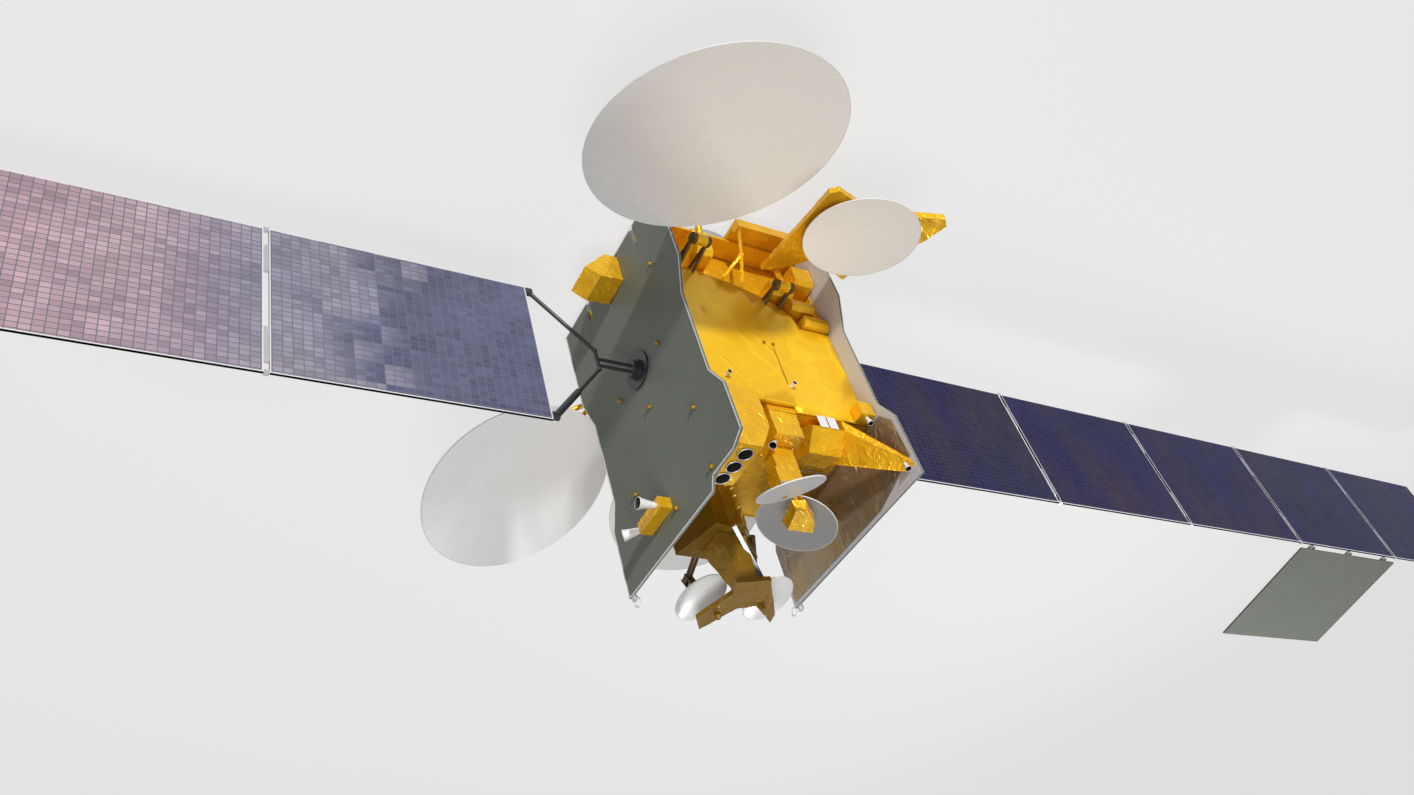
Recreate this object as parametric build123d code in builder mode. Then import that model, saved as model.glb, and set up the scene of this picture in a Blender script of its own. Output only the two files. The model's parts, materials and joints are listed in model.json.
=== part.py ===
from build123d import *
import math
import os

# Large three-axis geostationary communications satellite, deployed.
# Millimetres.  Origin: centre of the launch adapter ring's separation plane.
# +Z is the Earth-facing direction, +Y runs along the north wing, +X is the side
# that the solar cells face.  Heights written "above the array axis" are added to
# array_axis_height.

os.makedirs("parts", exist_ok=True)

# ---------------------------------------------------------------- driving sizes
ring_height = 350               # separation plane to the underside of the floor panel
floor_drop = 1900               # array axis down to the underside of the floor panel
floor_skin = 50
deck_level = 1320               # Earth deck above the array axis
wall_reach = 1000               # outer face of the +X and -X walls from the centre
wall_skin = 40                  # wall panel with its foil blanket
radiator_reach = 1225           # inner face of a radiator panel from the centre
radiator_thickness = 28
recess_depth = 320              # reflector bay at the floor end of each wall

ring_radius = 833               # 1666 mm separation ring
ring_lip = 14
ring_wall = 9
ring_web = 20                   # web set in from the ring's outer face
ring_shoulder = 50              # height of the cone under the floor panel
ring_seat_reach = 40            # floor seat past the ring's outer face

panel_width = 2245              # solar panel, across the wing
panel_pitch = 3150              # hinge line to hinge line along the wing
panel_gap = 60
panel_thickness = 30
panel_count = 5
wing_root = 2629                # inner edge of the first panel from the centre
lateral_bend = 80               # lateral panel, folded back from coplanar, degrees
lateral_length = 2220

hub_radius = 250                # array drive flange
hub_thickness = 80
running_gap = 2                 # between pieces that turn past each other
pin_clearance = 1

array_axis_height = ring_height + floor_drop
body_floor = -floor_drop


def up(height):
    """Height above the separation plane for a height above the array axis."""
    return array_axis_height + height


def strut(start, end, radius):
    """Round bar between two points, added to the part being built."""
    run = Vector(end) - Vector(start)
    with BuildSketch(Plane(origin=start, z_dir=run)) as section:
        Circle(radius)
    extrude(section.sketch, amount=run.length)


def block(x_span, y_span, z_span):
    """Box between two corners, added to the part being built."""
    with BuildSketch(Plane.XY.offset(z_span[0])) as footprint:
        with Locations((sum(x_span) / 2, sum(y_span) / 2)):
            Rectangle(x_span[1] - x_span[0], y_span[1] - y_span[0])
    extrude(footprint.sketch, amount=z_span[1] - z_span[0])


def save(part, name):
    """Labels a finished piece and writes it to the parts folder."""
    part.label = name
    export_step(part, f"parts/{name}.step")


# ---------------------------------------------------------------- launch adapter
ring_web_top = ring_height - ring_shoulder
ring_web_foot = ring_lip + 26
web_radius = ring_radius - ring_web
spring_radius = 25              # seats of the separation springs
spring_length = 90

with BuildPart() as adapter_ring:
    with BuildSketch(Plane.XZ):
        with BuildLine():
            Polyline(
                (web_radius - 10, 0),
                (ring_radius, 0),
                (ring_radius, ring_lip),
                (web_radius, ring_web_foot),
                (web_radius, ring_web_top),
                (ring_radius + ring_seat_reach, ring_height - 10),
                (ring_radius + ring_seat_reach, ring_height),
                (web_radius - ring_seat_reach, ring_height),
                (web_radius - ring_wall, ring_web_top),
                (web_radius - ring_wall, ring_web_foot),
                (web_radius - 10, ring_lip),
                close=True,
            )
        make_face()
    revolve(axis=Axis.Z)
    with BuildSketch(Plane.XY.offset(ring_web_foot)):
        with PolarLocations(web_radius - spring_radius, 4, start_angle=45):
            Circle(spring_radius)
    extrude(amount=spring_length)
save(adapter_ring.part, "adapter_ring")

# ---------------------------------------------------------------- apogee engine
bell_exit = 90                  # above the separation plane
bell_length = 200
bell_radius = 210               # inside, at the exit
bell_skin = 6
throat_radius = 36
chamber_radius = 70
mount_radius = 130
throat_height = bell_exit + bell_length
mount_height = ring_height - 15

with BuildPart() as apogee_engine:
    with BuildSketch(Plane.XZ):
        with BuildLine():
            Polyline(
                (bell_radius, bell_exit),
                (bell_radius + 2 * bell_skin, bell_exit),
                (bell_radius + 2 * bell_skin, bell_exit + 3 * bell_skin),
                (bell_radius + bell_skin - 5, bell_exit + 3 * bell_skin),
            )
            contour = ThreePointArc(
                (bell_radius + bell_skin - 5, bell_exit + 3 * bell_skin),
                (throat_radius + 107, throat_height - 90),
                (throat_radius + 2 * bell_skin, throat_height),
            )
            Polyline(
                contour @ 1,
                (chamber_radius, throat_height + 25),
                (chamber_radius, mount_height),
                (mount_radius, mount_height),
                (mount_radius, ring_height),
                (0, ring_height),
                (0, throat_height),
                (throat_radius, throat_height),
            )
            ThreePointArc(
                (throat_radius, throat_height),
                (throat_radius + 98, throat_height - 90),
                (bell_radius, bell_exit),
            )
        make_face()
    revolve(axis=Axis.Z)
save(apogee_engine.part, "apogee_engine")

# ---------------------------------------------------------------- central body
# rim of the reflector bay in a wall: (y, height above the array axis)
bay_rim = (
    (776, -1020),
    (440, -970),
    (80, -910),
    (-430, -710),
    (-700, -510),
    (-740, -300),
)


def bay_outline():
    """Outline of the reflector bay in the Y-Z plane, open at the floor."""
    points = [(radiator_reach - 1, up(floor_top) - 1), (radiator_reach - 1, up(bay_rim[0][1]))]
    points += [(y, up(z)) for y, z in bay_rim]
    points += [(-radiator_reach + 1, up(bay_rim[-1][1])), (-radiator_reach + 1, up(floor_top) - 1)]
    return points


inner_reach = wall_reach - wall_skin
floor_top = body_floor + floor_skin
deck = up(deck_level)

# antenna tower's lower block, flush with the deck's +X edge, and the pocket beside it
tower_face = inner_reach        # +X face of the block
tower_back = 560
tower_north = 310               # its edges in y
tower_south = -100
pocket_width = 240              # northward from the block
pocket_depth = 300              # below the deck
pocket_north = tower_north + pocket_width
notch_depth = 90                # of the wall's edge over the block and the pocket
lip_reach = 30                  # ledge along the notch
lip_thickness = 30

with BuildPart() as central_body:
    block(
        (-inner_reach, inner_reach),
        (-radiator_reach, radiator_reach),
        (up(floor_top), up(deck_level)),
    )
    for side in (1, -1):
        with BuildSketch(Plane.YZ.offset(side * (wall_reach - recess_depth))):
            with BuildLine():
                Polyline(*bay_outline(), close=True)
            make_face()
        extrude(amount=side * recess_depth, mode=Mode.SUBTRACT)
    with BuildSketch(Plane.XY.offset(deck)):
        with Locations(((tower_back + inner_reach) / 2, tower_north + pocket_width / 2)):
            Rectangle(inner_reach - tower_back, pocket_width)
    extrude(amount=-pocket_depth, mode=Mode.SUBTRACT)
save(central_body.part, "central_body")

with BuildPart() as floor_panel:
    block(
        (-wall_reach, wall_reach),
        (-radiator_reach, radiator_reach),
        (up(body_floor), up(floor_top)),
    )
save(floor_panel.part, "floor_panel")

# walls: the panel above the bay's rim
walls = {}
for side, wall_name in ((1, "wall_plus_x"), (-1, "wall_minus_x")):
    with BuildPart() as wall:
        with BuildSketch(Plane.YZ.offset(side * inner_reach)):
            with BuildLine():
                Polyline(
                    (radiator_reach, up(bay_rim[0][1])),
                    *[(y, up(z)) for y, z in bay_rim],
                    (-radiator_reach, up(bay_rim[-1][1])),
                    (-radiator_reach, up(deck_level)),
                    (radiator_reach, up(deck_level)),
                    close=True,
                )
            make_face()
        extrude(amount=side * wall_skin)
        if side > 0:
            with BuildSketch(Plane.YZ.offset(inner_reach)):
                with Locations(((pocket_north + tower_south) / 2, deck - notch_depth / 2)):
                    Rectangle(pocket_north - tower_south, notch_depth)
            extrude(amount=wall_skin, mode=Mode.SUBTRACT)
            block(
                (wall_reach, wall_reach + lip_reach),
                (tower_south, pocket_north),
                (deck - notch_depth - lip_thickness, deck - notch_depth),
            )
    save(wall.part, wall_name)
    walls[side] = wall.part

# ---------------------------------------------------------------- radiator panels
radiator_foot = -2000           # floor-end edge above the array axis
radiator_half_width = 1420
radiator_waist = 1240           # half width between the tapers
waist_span = (-140, 1160)       # heights between which it holds
flare_foot = -650               # where the floor-end taper starts
flare_top = 1500                # where the Earth-end taper ends
flare_inset = 10                # of that taper's end
# step down at one end of the north panel's Earth edge: (x, height above the array axis)
step_edge = ((1420, 2200), (1200, 2310), (750, 2310), (650, 2470))
slot_place = 690
slot_width = 90
slot_length = 330


# hold-down studs of the folded wing: (x, height above the array axis)
stud_places = (
    (870, -1070),
    (520, 30),
    (-540, 40),
    (10, 640),
    (790, 1350),
    (-740, 1420),
    (780, 2220),
    (-40, 2160),
)
stud_radius = 24
stud_height = 45


def radiator_outline(earth_edge, stepped):
    """Outline of a radiator panel in the X-Z plane, heights above the array axis."""
    edge = [
        (radiator_half_width, radiator_foot),
        (radiator_half_width, flare_foot),
        (radiator_waist, waist_span[0]),
        (radiator_waist, waist_span[1]),
        (radiator_half_width - flare_inset, flare_top),
    ]
    left = [(-x, z) for x, z in reversed(edge)]
    top = list(step_edge) if stepped else [(radiator_half_width, earth_edge)]
    top.append((-radiator_half_width, earth_edge))
    return [(x, up(z)) for x, z in edge + top + left]


radiator_face = radiator_reach + radiator_thickness
radiators = {}
for side, name, earth_edge, stepped in (
    (1, "radiator_panel_north", 2470, True),
    (-1, "radiator_panel_south", 2410, False),
):
    with BuildPart() as radiator:
        inner_face = side * radiator_reach
        with BuildSketch(Plane.XZ.offset(-inner_face)):
            with BuildLine():
                Polyline(*radiator_outline(earth_edge, stepped), close=True)
            make_face()
            with Locations(
                (slot_place, up(radiator_foot) + slot_length / 2),
                (-slot_place, up(radiator_foot) + slot_length / 2),
            ):
                Rectangle(slot_width, slot_length, mode=Mode.SUBTRACT)
        extrude(amount=-side * radiator_thickness)
        with BuildSketch(Plane.XZ.offset(-side * radiator_face)):
            with Locations(*[(x, up(z)) for x, z in stud_places]):
                Circle(stud_radius)
        extrude(amount=-side * stud_height)
    save(radiator.part, name)
    radiators[side] = radiator.part

# ---------------------------------------------------------------- solar array drives
rod_radius = 22
rod_spread = 55
drum_radius = 135
flange_skin = 28
yoke_flange_radius = 110
yoke_flange_thickness = 40
yoke_bar = 1830                 # cross bar of the yoke from the centre
yoke_bar_up = 120               # its ends above and below the array axis
yoke_bar_down = 200
yoke_tube_radius = 26
elbow_swell = 8                 # of the ball at each elbow over the tube
sleeve_radius = 44              # thick outer half of the Earth-side arm
tip_block = 90                  # end fittings on the first panel's root edge
tip_inset = 70                  # their centres in from the panel's edges

for side, name in ((1, "array_drive_north"), (-1, "array_drive_south")):
    with BuildPart() as drive:
        with BuildSketch(Plane.XZ.offset(-side * radiator_face)):
            with Locations((0, up(0))):
                Circle(hub_radius)
        extrude(amount=-side * flange_skin)
        with BuildSketch(Plane.XZ.offset(-side * radiator_face)):
            with Locations((0, up(0))):
                Circle(drum_radius)
        extrude(amount=-side * hub_thickness)
    save(drive.part, name)

flange_face = radiator_face + hub_thickness + running_gap
tip_rise = panel_width / 2 - tip_inset
low_elbow = Vector(0, yoke_bar, up(-yoke_bar_down))
high_elbow = Vector(0, yoke_bar, up(yoke_bar_up))
low_tip = Vector(0, wing_root - tip_block / 2, up(-tip_rise))
high_tip = Vector(0, wing_root - tip_block / 2, up(tip_rise))

with BuildPart() as yoke_north:
    with BuildSketch(Plane.XZ.offset(-flange_face)):
        with Locations((0, up(0))):
            Circle(yoke_flange_radius)
    extrude(amount=-yoke_flange_thickness)
    for offset in (-rod_spread, rod_spread):
        strut(
            (0, flange_face + yoke_flange_thickness / 2, up(offset)),
            (0, yoke_bar + elbow_swell, up(offset)),
            rod_radius,
        )
    strut(low_elbow, high_elbow, yoke_tube_radius)
    strut(low_elbow, low_tip, yoke_tube_radius)
    # the Earth-side arm is turned about its own line, with its outer half thicker
    run = high_tip - high_elbow
    arm_plane = Plane(origin=high_elbow, x_dir=(1, 0, 0), z_dir=Vector(1, 0, 0).cross(run))
    with BuildSketch(arm_plane):
        with BuildLine():
            Polyline(
                (0, 0),
                (yoke_tube_radius, 0),
                (yoke_tube_radius, run.length / 2),
                (sleeve_radius, run.length / 2),
                (sleeve_radius, run.length),
                (0, run.length),
                close=True,
            )
        make_face()
    revolve(axis=Axis(high_elbow, run))
    for elbow in (low_elbow, high_elbow):
        with Locations(Location(elbow)):
            Sphere(yoke_tube_radius + elbow_swell)
    for tip in (low_tip, high_tip):
        with Locations(Location(tip)):
            Box(panel_thickness * 2, tip_block, tip_block)
save(yoke_north.part, "yoke_north")

with BuildPart() as yoke_south:
    mirror(yoke_north.part, about=Plane.XZ)
save(yoke_south.part, "yoke_south")

# ---------------------------------------------------------------- solar panels
panel_length = panel_pitch - panel_gap
# hinges on each fold line: (middle above the array axis, width across the wing)
hinge_places = ((-635, 430), (705, 510))
strap_thickness = 10
strap_lap = 60                  # of a strap onto each panel's back
knuckle_inset = 35              # end knuckles, into the panels' edge and out of it
knuckle_outset = 20
knuckle_depth = 40

for side, wing in ((1, "north"), (-1, "south")):
    for number in range(panel_count):
        near = wing_root + number * panel_pitch
        with BuildPart() as panel:
            with BuildSketch(Plane.YZ.offset(-panel_thickness / 2)):
                with Locations((side * (near + panel_length / 2), up(0))):
                    Rectangle(panel_length, panel_width)
            extrude(amount=panel_thickness)
        save(panel.part, f"{wing}_panel_{number + 1}")

    with BuildPart() as hinges:
        for number in range(panel_count - 1):
            line = side * (wing_root + (number + 1) * panel_pitch - panel_gap / 2)
            for place, width in hinge_places:
                with BuildSketch(Plane.YZ.offset(-panel_thickness / 2 - strap_thickness)):
                    with Locations((line, up(place))):
                        Rectangle(panel_gap + 2 * strap_lap, width)
                extrude(amount=strap_thickness)
                with BuildSketch(Plane.YZ.offset(-panel_thickness / 2)):
                    with Locations((line, up(place))):
                        Rectangle(panel_gap, width)
                extrude(amount=panel_thickness * 0.75)
            for end in (-1, 1):
                place = end * (panel_width + knuckle_outset - knuckle_inset) / 2
                with BuildSketch(Plane.YZ.offset(-knuckle_depth / 2)):
                    with Locations((line, up(place))):
                        Rectangle(panel_gap, knuckle_inset + knuckle_outset)
                extrude(amount=knuckle_depth)
    save(hinges.part, f"{wing}_panel_hinges")

# lateral panel: hinged on the Earth-side edge of the south wing's fourth panel, where it
# stands folded back behind the cells' plane
lateral_number = 4
lateral_middle = wing_root + (lateral_number - 1) * panel_pitch + panel_length / 2
lateral_pin_gap = 30            # panel edges to the hinge pin
lateral_pin_drop = 20           # pin behind the panels' backs
knuckle_radius = 11
knuckle_length = 60
lateral_pin_radius = 5
knuckle_places = (-1200, 0, 1200)       # along the wing from the panel's middle
lean = math.radians(lateral_bend)
lateral_pin = (
    -panel_thickness / 2 - lateral_pin_drop,
    -lateral_middle,
    up(panel_width / 2 + lateral_pin_gap),
)
outward = Vector(-math.sin(lean), 0, math.cos(lean))
lateral_plane = Plane(origin=lateral_pin, x_dir=outward, z_dir=Vector(0, 1, 0))

with BuildPart() as lateral_hinge:
    for place in knuckle_places:
        near_edge = panel_width / 2 - 80
        with BuildSketch(Plane.XZ.offset(lateral_middle - place - knuckle_length / 2)):
            with BuildLine():
                Polyline(
                    (-panel_thickness / 2, up(near_edge)),
                    (-panel_thickness / 2, up(panel_width / 2 + lateral_pin_gap - 2)),
                    (lateral_pin[0] - knuckle_radius, lateral_pin[2]),
                    (lateral_pin[0] - knuckle_radius, up(panel_width / 2 - 20)),
                    (-panel_thickness / 2 - strap_thickness, up(near_edge)),
                    close=True,
                )
            make_face()
            with Locations((lateral_pin[0], lateral_pin[2])):
                Circle(knuckle_radius)
        extrude(amount=knuckle_length)
        pin_start = lateral_middle - place - knuckle_length * 1.5 - running_gap
        with BuildSketch(Plane.XZ.offset(pin_start)):
            with Locations((lateral_pin[0], lateral_pin[2])):
                Circle(lateral_pin_radius)
        extrude(amount=knuckle_length * 3 + 2 * running_gap)
save(lateral_hinge.part, "lateral_hinge_lugs")

# in this plane x runs out along the panel, y across it towards the hinge's front side
with BuildPart() as lateral_panel:
    with BuildSketch(lateral_plane.offset(-panel_length / 2)):
        with Locations((lateral_pin_gap + lateral_length / 2,
                        lateral_pin_drop + panel_thickness / 2)):
            Rectangle(lateral_length, panel_thickness)
    extrude(amount=panel_length)
    for place in knuckle_places:
        for step in (-1, 1):
            middle = place + step * (knuckle_length + running_gap)
            with BuildSketch(lateral_plane.offset(middle - knuckle_length / 2)):
                with BuildLine():
                    Polyline(
                        (0, -knuckle_radius),
                        (lateral_pin_gap + 20, 4 - knuckle_radius),
                        (lateral_pin_gap + 80, lateral_pin_drop),
                        (lateral_pin_gap, lateral_pin_drop),
                        (0, knuckle_radius),
                        close=True,
                    )
                make_face()
                Circle(knuckle_radius)
                Circle(lateral_pin_radius + pin_clearance, mode=Mode.SUBTRACT)
            extrude(amount=knuckle_length)
save(lateral_panel.part, "lateral_panel")

# ---------------------------------------------------------------- side reflectors
# Each is a shallow bowl carried by an arm on a hinge at the wall's bay.
# centre: of the rim, x and y from the body's centre, z above the array axis.
# front: the way the bowl faces.  hinge: middle of its hinge pin.
# ring: section depth of the back ring and its legs; a bowl without one rides on the star.
dish_skin = 14
ring_share = 0.62               # back ring's radius over the bowl's
ring_half_width = 30
leg_radius = 36
leg_spread = 38                 # degrees each side of the way to the body
knee_drop = 200                 # arm's knee below the back ring
knee_reach = 60                 # and out from the pin
stem_radius = 42
hinge_eye_radius = 75
hinge_eye_length = 160
hinge_pin_radius = 28
cheek_thickness = 50
bracket_leg_radius = 22
bracket_leg_rises = (-60, 140)  # of the legs' seats over the pin

# name, diameter, depth, centre, front, hinge, ring
side_reflectors = (
    ("large_plus_x", 3100, 205, (3000, 1580, -650), (-0.224, -0.121, 0.967), (1450, 850, -1020), 90),
    ("small_plus_x", 1500, 85, (2370, -940, -610), (-0.235, 0.097, 0.967), (1300, -420, -700), 0),
    ("large_minus_x", 2800, 185, (-2863, 1665, -304), (0.259, -0.177, 0.950), (-1450, 850, -720), 90),
    ("medium_minus_x", 2400, 150, (-2710, -1010, -200), (0.235, 0.097, 0.967), (-1450, -600, -450), 90),
)

# three-armed carrier behind the small bowl, from the bowl's centre: (inward, southward)
star_arms = (
    (-385, -749),
    (-478, -657),
    (-330, -80),
    (-664, 856),
    (-550, 973),
    (-140, 884),
    (180, 520),
    (953, 415),
    (766, -183),
    (1177, -534),
    (1260, -708),
)
star_gap = 50                   # between the bowl's lowest point and the carrier
star_depth = 90
star_root = (1150, -560)        # where the hinge's stem leaves it
star_post_radius = 30
star_post_ring = 480            # posts up to the bowl, on this radius
star_post_turn = 96


def hinge_axis(front, side):
    """Axis about which the bowl swings until it faces the wall, square to it."""
    middle = Vector(front) + Vector(side, 0, 0)
    skew = -middle.Y / (middle.X**2 + middle.Z**2)
    return Vector(middle.X * skew, 1, middle.Z * skew).normalized() * -side


def ring_point(plane, radius, angle, height):
    """Point behind a bowl, at an angle from the way to the body."""
    turn = math.radians(angle)
    local = Vector(radius * math.cos(turn), radius * math.sin(turn), -height)
    return plane.from_local_coords(local)


for name, diameter, depth, centre, front, hinge, ring_depth in side_reflectors:
    side = 1 if centre[0] > 0 else -1
    radius = diameter / 2
    middle = Vector(centre[0], centre[1], up(centre[2]))
    facing = Vector(front).normalized()
    inward = (Vector(-side, 0, 0) - facing * (-side * facing.X)).normalized()
    bowl_plane = Plane(origin=middle, x_dir=inward, z_dir=facing)
    profile_plane = Plane(origin=middle, x_dir=inward, z_dir=-bowl_plane.y_dir)
    ring_radius_back = radius * ring_share
    ring_seat = depth * (1 - ring_share**2) + dish_skin * 0.5

    with BuildPart() as bowl:
        with BuildSketch(profile_plane):
            with BuildLine():
                Line((0, -depth - dish_skin), (0, -depth))
                TangentArc((0, -depth), (radius, 0), tangent=(1, 0))
                Line((radius, 0), (radius, -dish_skin))
                TangentArc((0, -depth - dish_skin), (radius, -dish_skin), tangent=(1, 0))
            make_face()
        revolve(axis=Axis(middle, facing))
    save(bowl.part, f"reflector_{name}")

    axis = hinge_axis(front, side)
    pin_middle = Vector(hinge[0], hinge[1], up(hinge[2]))
    pin_plane = Plane(origin=pin_middle, x_dir=Vector(side, 0, 0), z_dir=axis)
    with BuildPart() as arm:
        if ring_depth:
            with BuildSketch(profile_plane):
                with BuildLine():
                    Polyline(
                        (ring_radius_back - ring_half_width, -ring_seat),
                        (ring_radius_back + ring_half_width, -ring_seat),
                        (ring_radius_back + ring_half_width, -ring_seat - ring_depth),
                        (ring_radius_back - ring_half_width, -ring_seat - ring_depth),
                        close=True,
                    )
                make_face()
            revolve(axis=Axis(middle, facing))
            knee = pin_middle - facing * (ring_depth + knee_drop) + Vector(side * knee_reach, 0, 0)
            for angle in (-leg_spread, leg_spread):
                foot = ring_point(
                    bowl_plane, ring_radius_back, angle, ring_seat + ring_depth * 0.6
                )
                strut(knee, foot, leg_radius)
        else:
            star_top = bowl_plane.offset(-depth - dish_skin - star_gap)
            with BuildSketch(star_top):
                with BuildLine():
                    Polyline(*star_arms, close=True)
                make_face()
            extrude(amount=-star_depth)
            with BuildSketch(star_top):
                with PolarLocations(star_post_ring, 3, start_angle=star_post_turn):
                    Circle(star_post_radius)
            extrude(amount=star_gap + dish_skin / 2 + depth * (star_post_ring / radius) ** 2)
            knee = star_top.from_local_coords(Vector(*star_root, -star_depth / 2))
        with Locations(Location(knee)):
            Sphere(stem_radius + 8)
        strut(knee, pin_middle, stem_radius)
        with BuildSketch(pin_plane.offset(-hinge_eye_length / 2)):
            Circle(hinge_eye_radius)
        extrude(amount=hinge_eye_length)
        with BuildSketch(pin_plane.offset(-hinge_eye_length / 2)):
            Circle(hinge_pin_radius + pin_clearance)
        extrude(amount=hinge_eye_length, mode=Mode.SUBTRACT)
        add(bowl.part, mode=Mode.SUBTRACT)
    save(arm.part, f"arm_{name}")

    cheek_gap = hinge_eye_length / 2 + running_gap
    with BuildPart() as bracket:
        with BuildSketch(pin_plane.offset(-cheek_gap - cheek_thickness)):
            Circle(hinge_pin_radius)
        extrude(amount=2 * (cheek_gap + cheek_thickness))
        for start in (-cheek_gap - cheek_thickness, cheek_gap):
            with BuildSketch(pin_plane.offset(start)):
                Circle(hinge_eye_radius)
            extrude(amount=cheek_thickness)
            leg_place = math.copysign(cheek_gap + cheek_thickness * 0.75, start)
            cheek = pin_plane.from_local_coords(Vector(0, 0, leg_place))
            for rise in bracket_leg_rises:
                seat = (side * (wall_reach - recess_depth - 5), cheek.Y, cheek.Z + rise)
                strut(cheek, seat, bracket_leg_radius)
        add(central_body.part, mode=Mode.SUBTRACT)
        add(walls[side], mode=Mode.SUBTRACT)
    save(bracket.part, f"hinge_bracket_{name}")

# ---------------------------------------------------------------- reflector bay
beam_back = wall_reach + 180    # the beam's faces in x, and its north end in y
beam_face = beam_back + 140
beam_north = -60
beam_foot = -1960
beam_top = -1800
beam_lap = 100                  # of its plate under the floor panel
tripod_head = (wall_reach + 280, 70, up(-1190))
tripod_radius = 24
box_slope = 60                  # chamfer along each box's outer upper edge
bay_south = 15 - radiator_reach
# equipment in the +X bay: (outer face past the wall, y span, z span above the array axis)
bay_boxes = (
    (200, (440, 690), (-1600, -1170)),
    (100, (-800, -430), (-1050, -830)),
    (100, (-1060, -690), (-760, -600)),
    (100, (bay_south + 10, -800), (-470, -320)),
    (150, (bay_south, -900), (-1440, -1120)),
)

with BuildPart() as floor_beam:
    block((beam_back, beam_face), (-radiator_reach, beam_north), (up(beam_foot), up(beam_top)))
    block(
        (wall_reach - beam_lap, beam_back),
        (-radiator_reach, beam_north),
        (up(beam_foot), up(body_floor)),
    )
save(floor_beam.part, "floor_beam")

with BuildPart() as bay_fittings:
    for reach, y_span, z_span in bay_boxes:
        outer = wall_reach + reach
        low, high = z_span
        with BuildSketch(Plane.XZ.offset(-y_span[1])):
            with BuildLine():
                Polyline(
                    (wall_reach - recess_depth, up(low)),
                    (outer, up(low)),
                    (outer, up(high - box_slope)),
                    (outer - box_slope, up(high)),
                    (wall_reach - recess_depth, up(high)),
                    close=True,
                )
            make_face()
        extrude(amount=y_span[1] - y_span[0])
    for end in (
        ((beam_back + beam_face) / 2, beam_north - 2 * tripod_radius, up(beam_top)),
        (wall_reach, 0, up(-840)),
        (wall_reach, 320, up(-900)),
    ):
        strut(tripod_head, end, tripod_radius)
    with Locations(Location(tripod_head)):
        Sphere(tripod_radius + 10)
    add(walls[1], mode=Mode.SUBTRACT)
    add(floor_beam.part, mode=Mode.SUBTRACT)
save(bay_fittings.part, "bay_fittings")

# ---------------------------------------------------------------- Earth deck
tower_top = 2100                # deck tower, above the array axis
# its outline from above: (x, y)
tower_outline = (
    (-970, 760),
    (-280, 560),
    (-310, 340),
    (-210, 170),
    (-560, -20),
    (-850, -390),
    (-1020, -330),
)

with BuildPart() as deck_tower:
    with BuildSketch(Plane.XY.offset(deck)):
        with BuildLine():
            Polyline(*tower_outline, close=True)
        make_face()
    extrude(amount=tower_top - deck_level)
save(deck_tower.part, "deck_tower")

# narrow tower by the +X edge with a forked head and the Gregorian antenna's feed
shoulder_level = 1700           # top of the lower block
head_level = 2250
head_face = 750                 # the upper block's edges in x and y
head_south = -30
head_north = tower_north - 10
fin_foot = 2020
fin_thickness = 40
# rising edge of the fin on the head, from its back: (x, height above the array axis)
fin_edge = ((500, 2310), (720, 2480))
feed_level = 2310
feed_height = 150
feed_taper = 9
feed_leg_radius = 22
feed_leg_drop = 70              # their feet, below the head's top and in from its edges
feed_legs = ((500, -40), (490, -190))
feed_outline = (
    (140, -50),
    (130, -480),
    (370, -370),
    (570, -120),
    (530, 60),
)

with BuildPart() as antenna_tower:
    block((tower_back, tower_face), (tower_south, tower_north), (deck, up(shoulder_level)))
    block(
        (tower_back, head_face),
        (head_south, head_north),
        (up(shoulder_level), up(head_level)),
    )
    with BuildSketch(Plane.XY.offset(up(feed_level))):
        with BuildLine():
            Polyline(*feed_outline, close=True)
        make_face()
    extrude(amount=feed_height, taper=feed_taper)
    leg_foot = (
        tower_back + feed_leg_radius,
        head_south + feed_leg_drop,
        up(head_level) - feed_leg_drop,
    )
    for x, y in feed_legs:
        strut(leg_foot, (x, y, up(feed_level) + feed_leg_radius / 2), feed_leg_radius)
    with BuildSketch(Plane.XZ.offset(fin_thickness / 4 - head_north)):
        with BuildLine():
            Polyline(
                (tower_back, up(fin_foot)),
                *[(x, up(z)) for x, z in fin_edge],
                (head_face, up(head_level)),
                (head_face, up(fin_foot)),
                close=True,
            )
        make_face()
    extrude(amount=-fin_thickness)
save(antenna_tower.part, "antenna_tower")

# box leaning over the deck's +X edge, in section: (x, height above the array axis)
repeater_north = -270
repeater_south = -760
repeater_section = (
    (440, deck_level),
    (760, deck_level),
    (990, 1480),
    (760, 1730),
    (440, 1640),
)

with BuildPart() as repeater_box:
    with BuildSketch(Plane.XZ.offset(-repeater_north)):
        with BuildLine():
            Polyline(*[(x, up(z)) for x, z in repeater_section], close=True)
        make_face()
    extrude(amount=repeater_north - repeater_south)
save(repeater_box.part, "repeater_box")

# blanket tent from the repeater box to the south radiator's upper corner, as sections
# in x and height above the array axis
tent_foot = ((560, deck_level), (wall_reach, deck_level), (985, 1490), (560, 1670))
tent_tip = ((1200, 2100), (1340, 2130), (1380, 2250), (1220, 2250))

with BuildPart() as corner_blanket:
    for reach, section in ((-repeater_south, tent_foot), (radiator_reach - 1, tent_tip)):
        with BuildSketch(Plane.XZ.offset(reach)):
            with BuildLine():
                Polyline(*[(x, up(z)) for x, z in section], close=True)
            make_face()
    loft(ruled=True)
save(corner_blanket.part, "corner_blanket")

# block of feed horns by the north radiator, its south edge leaning out and back
feed_mouth_radius = 85
feed_mouth_depth = 160
feed_mouth_taper = 12
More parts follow.
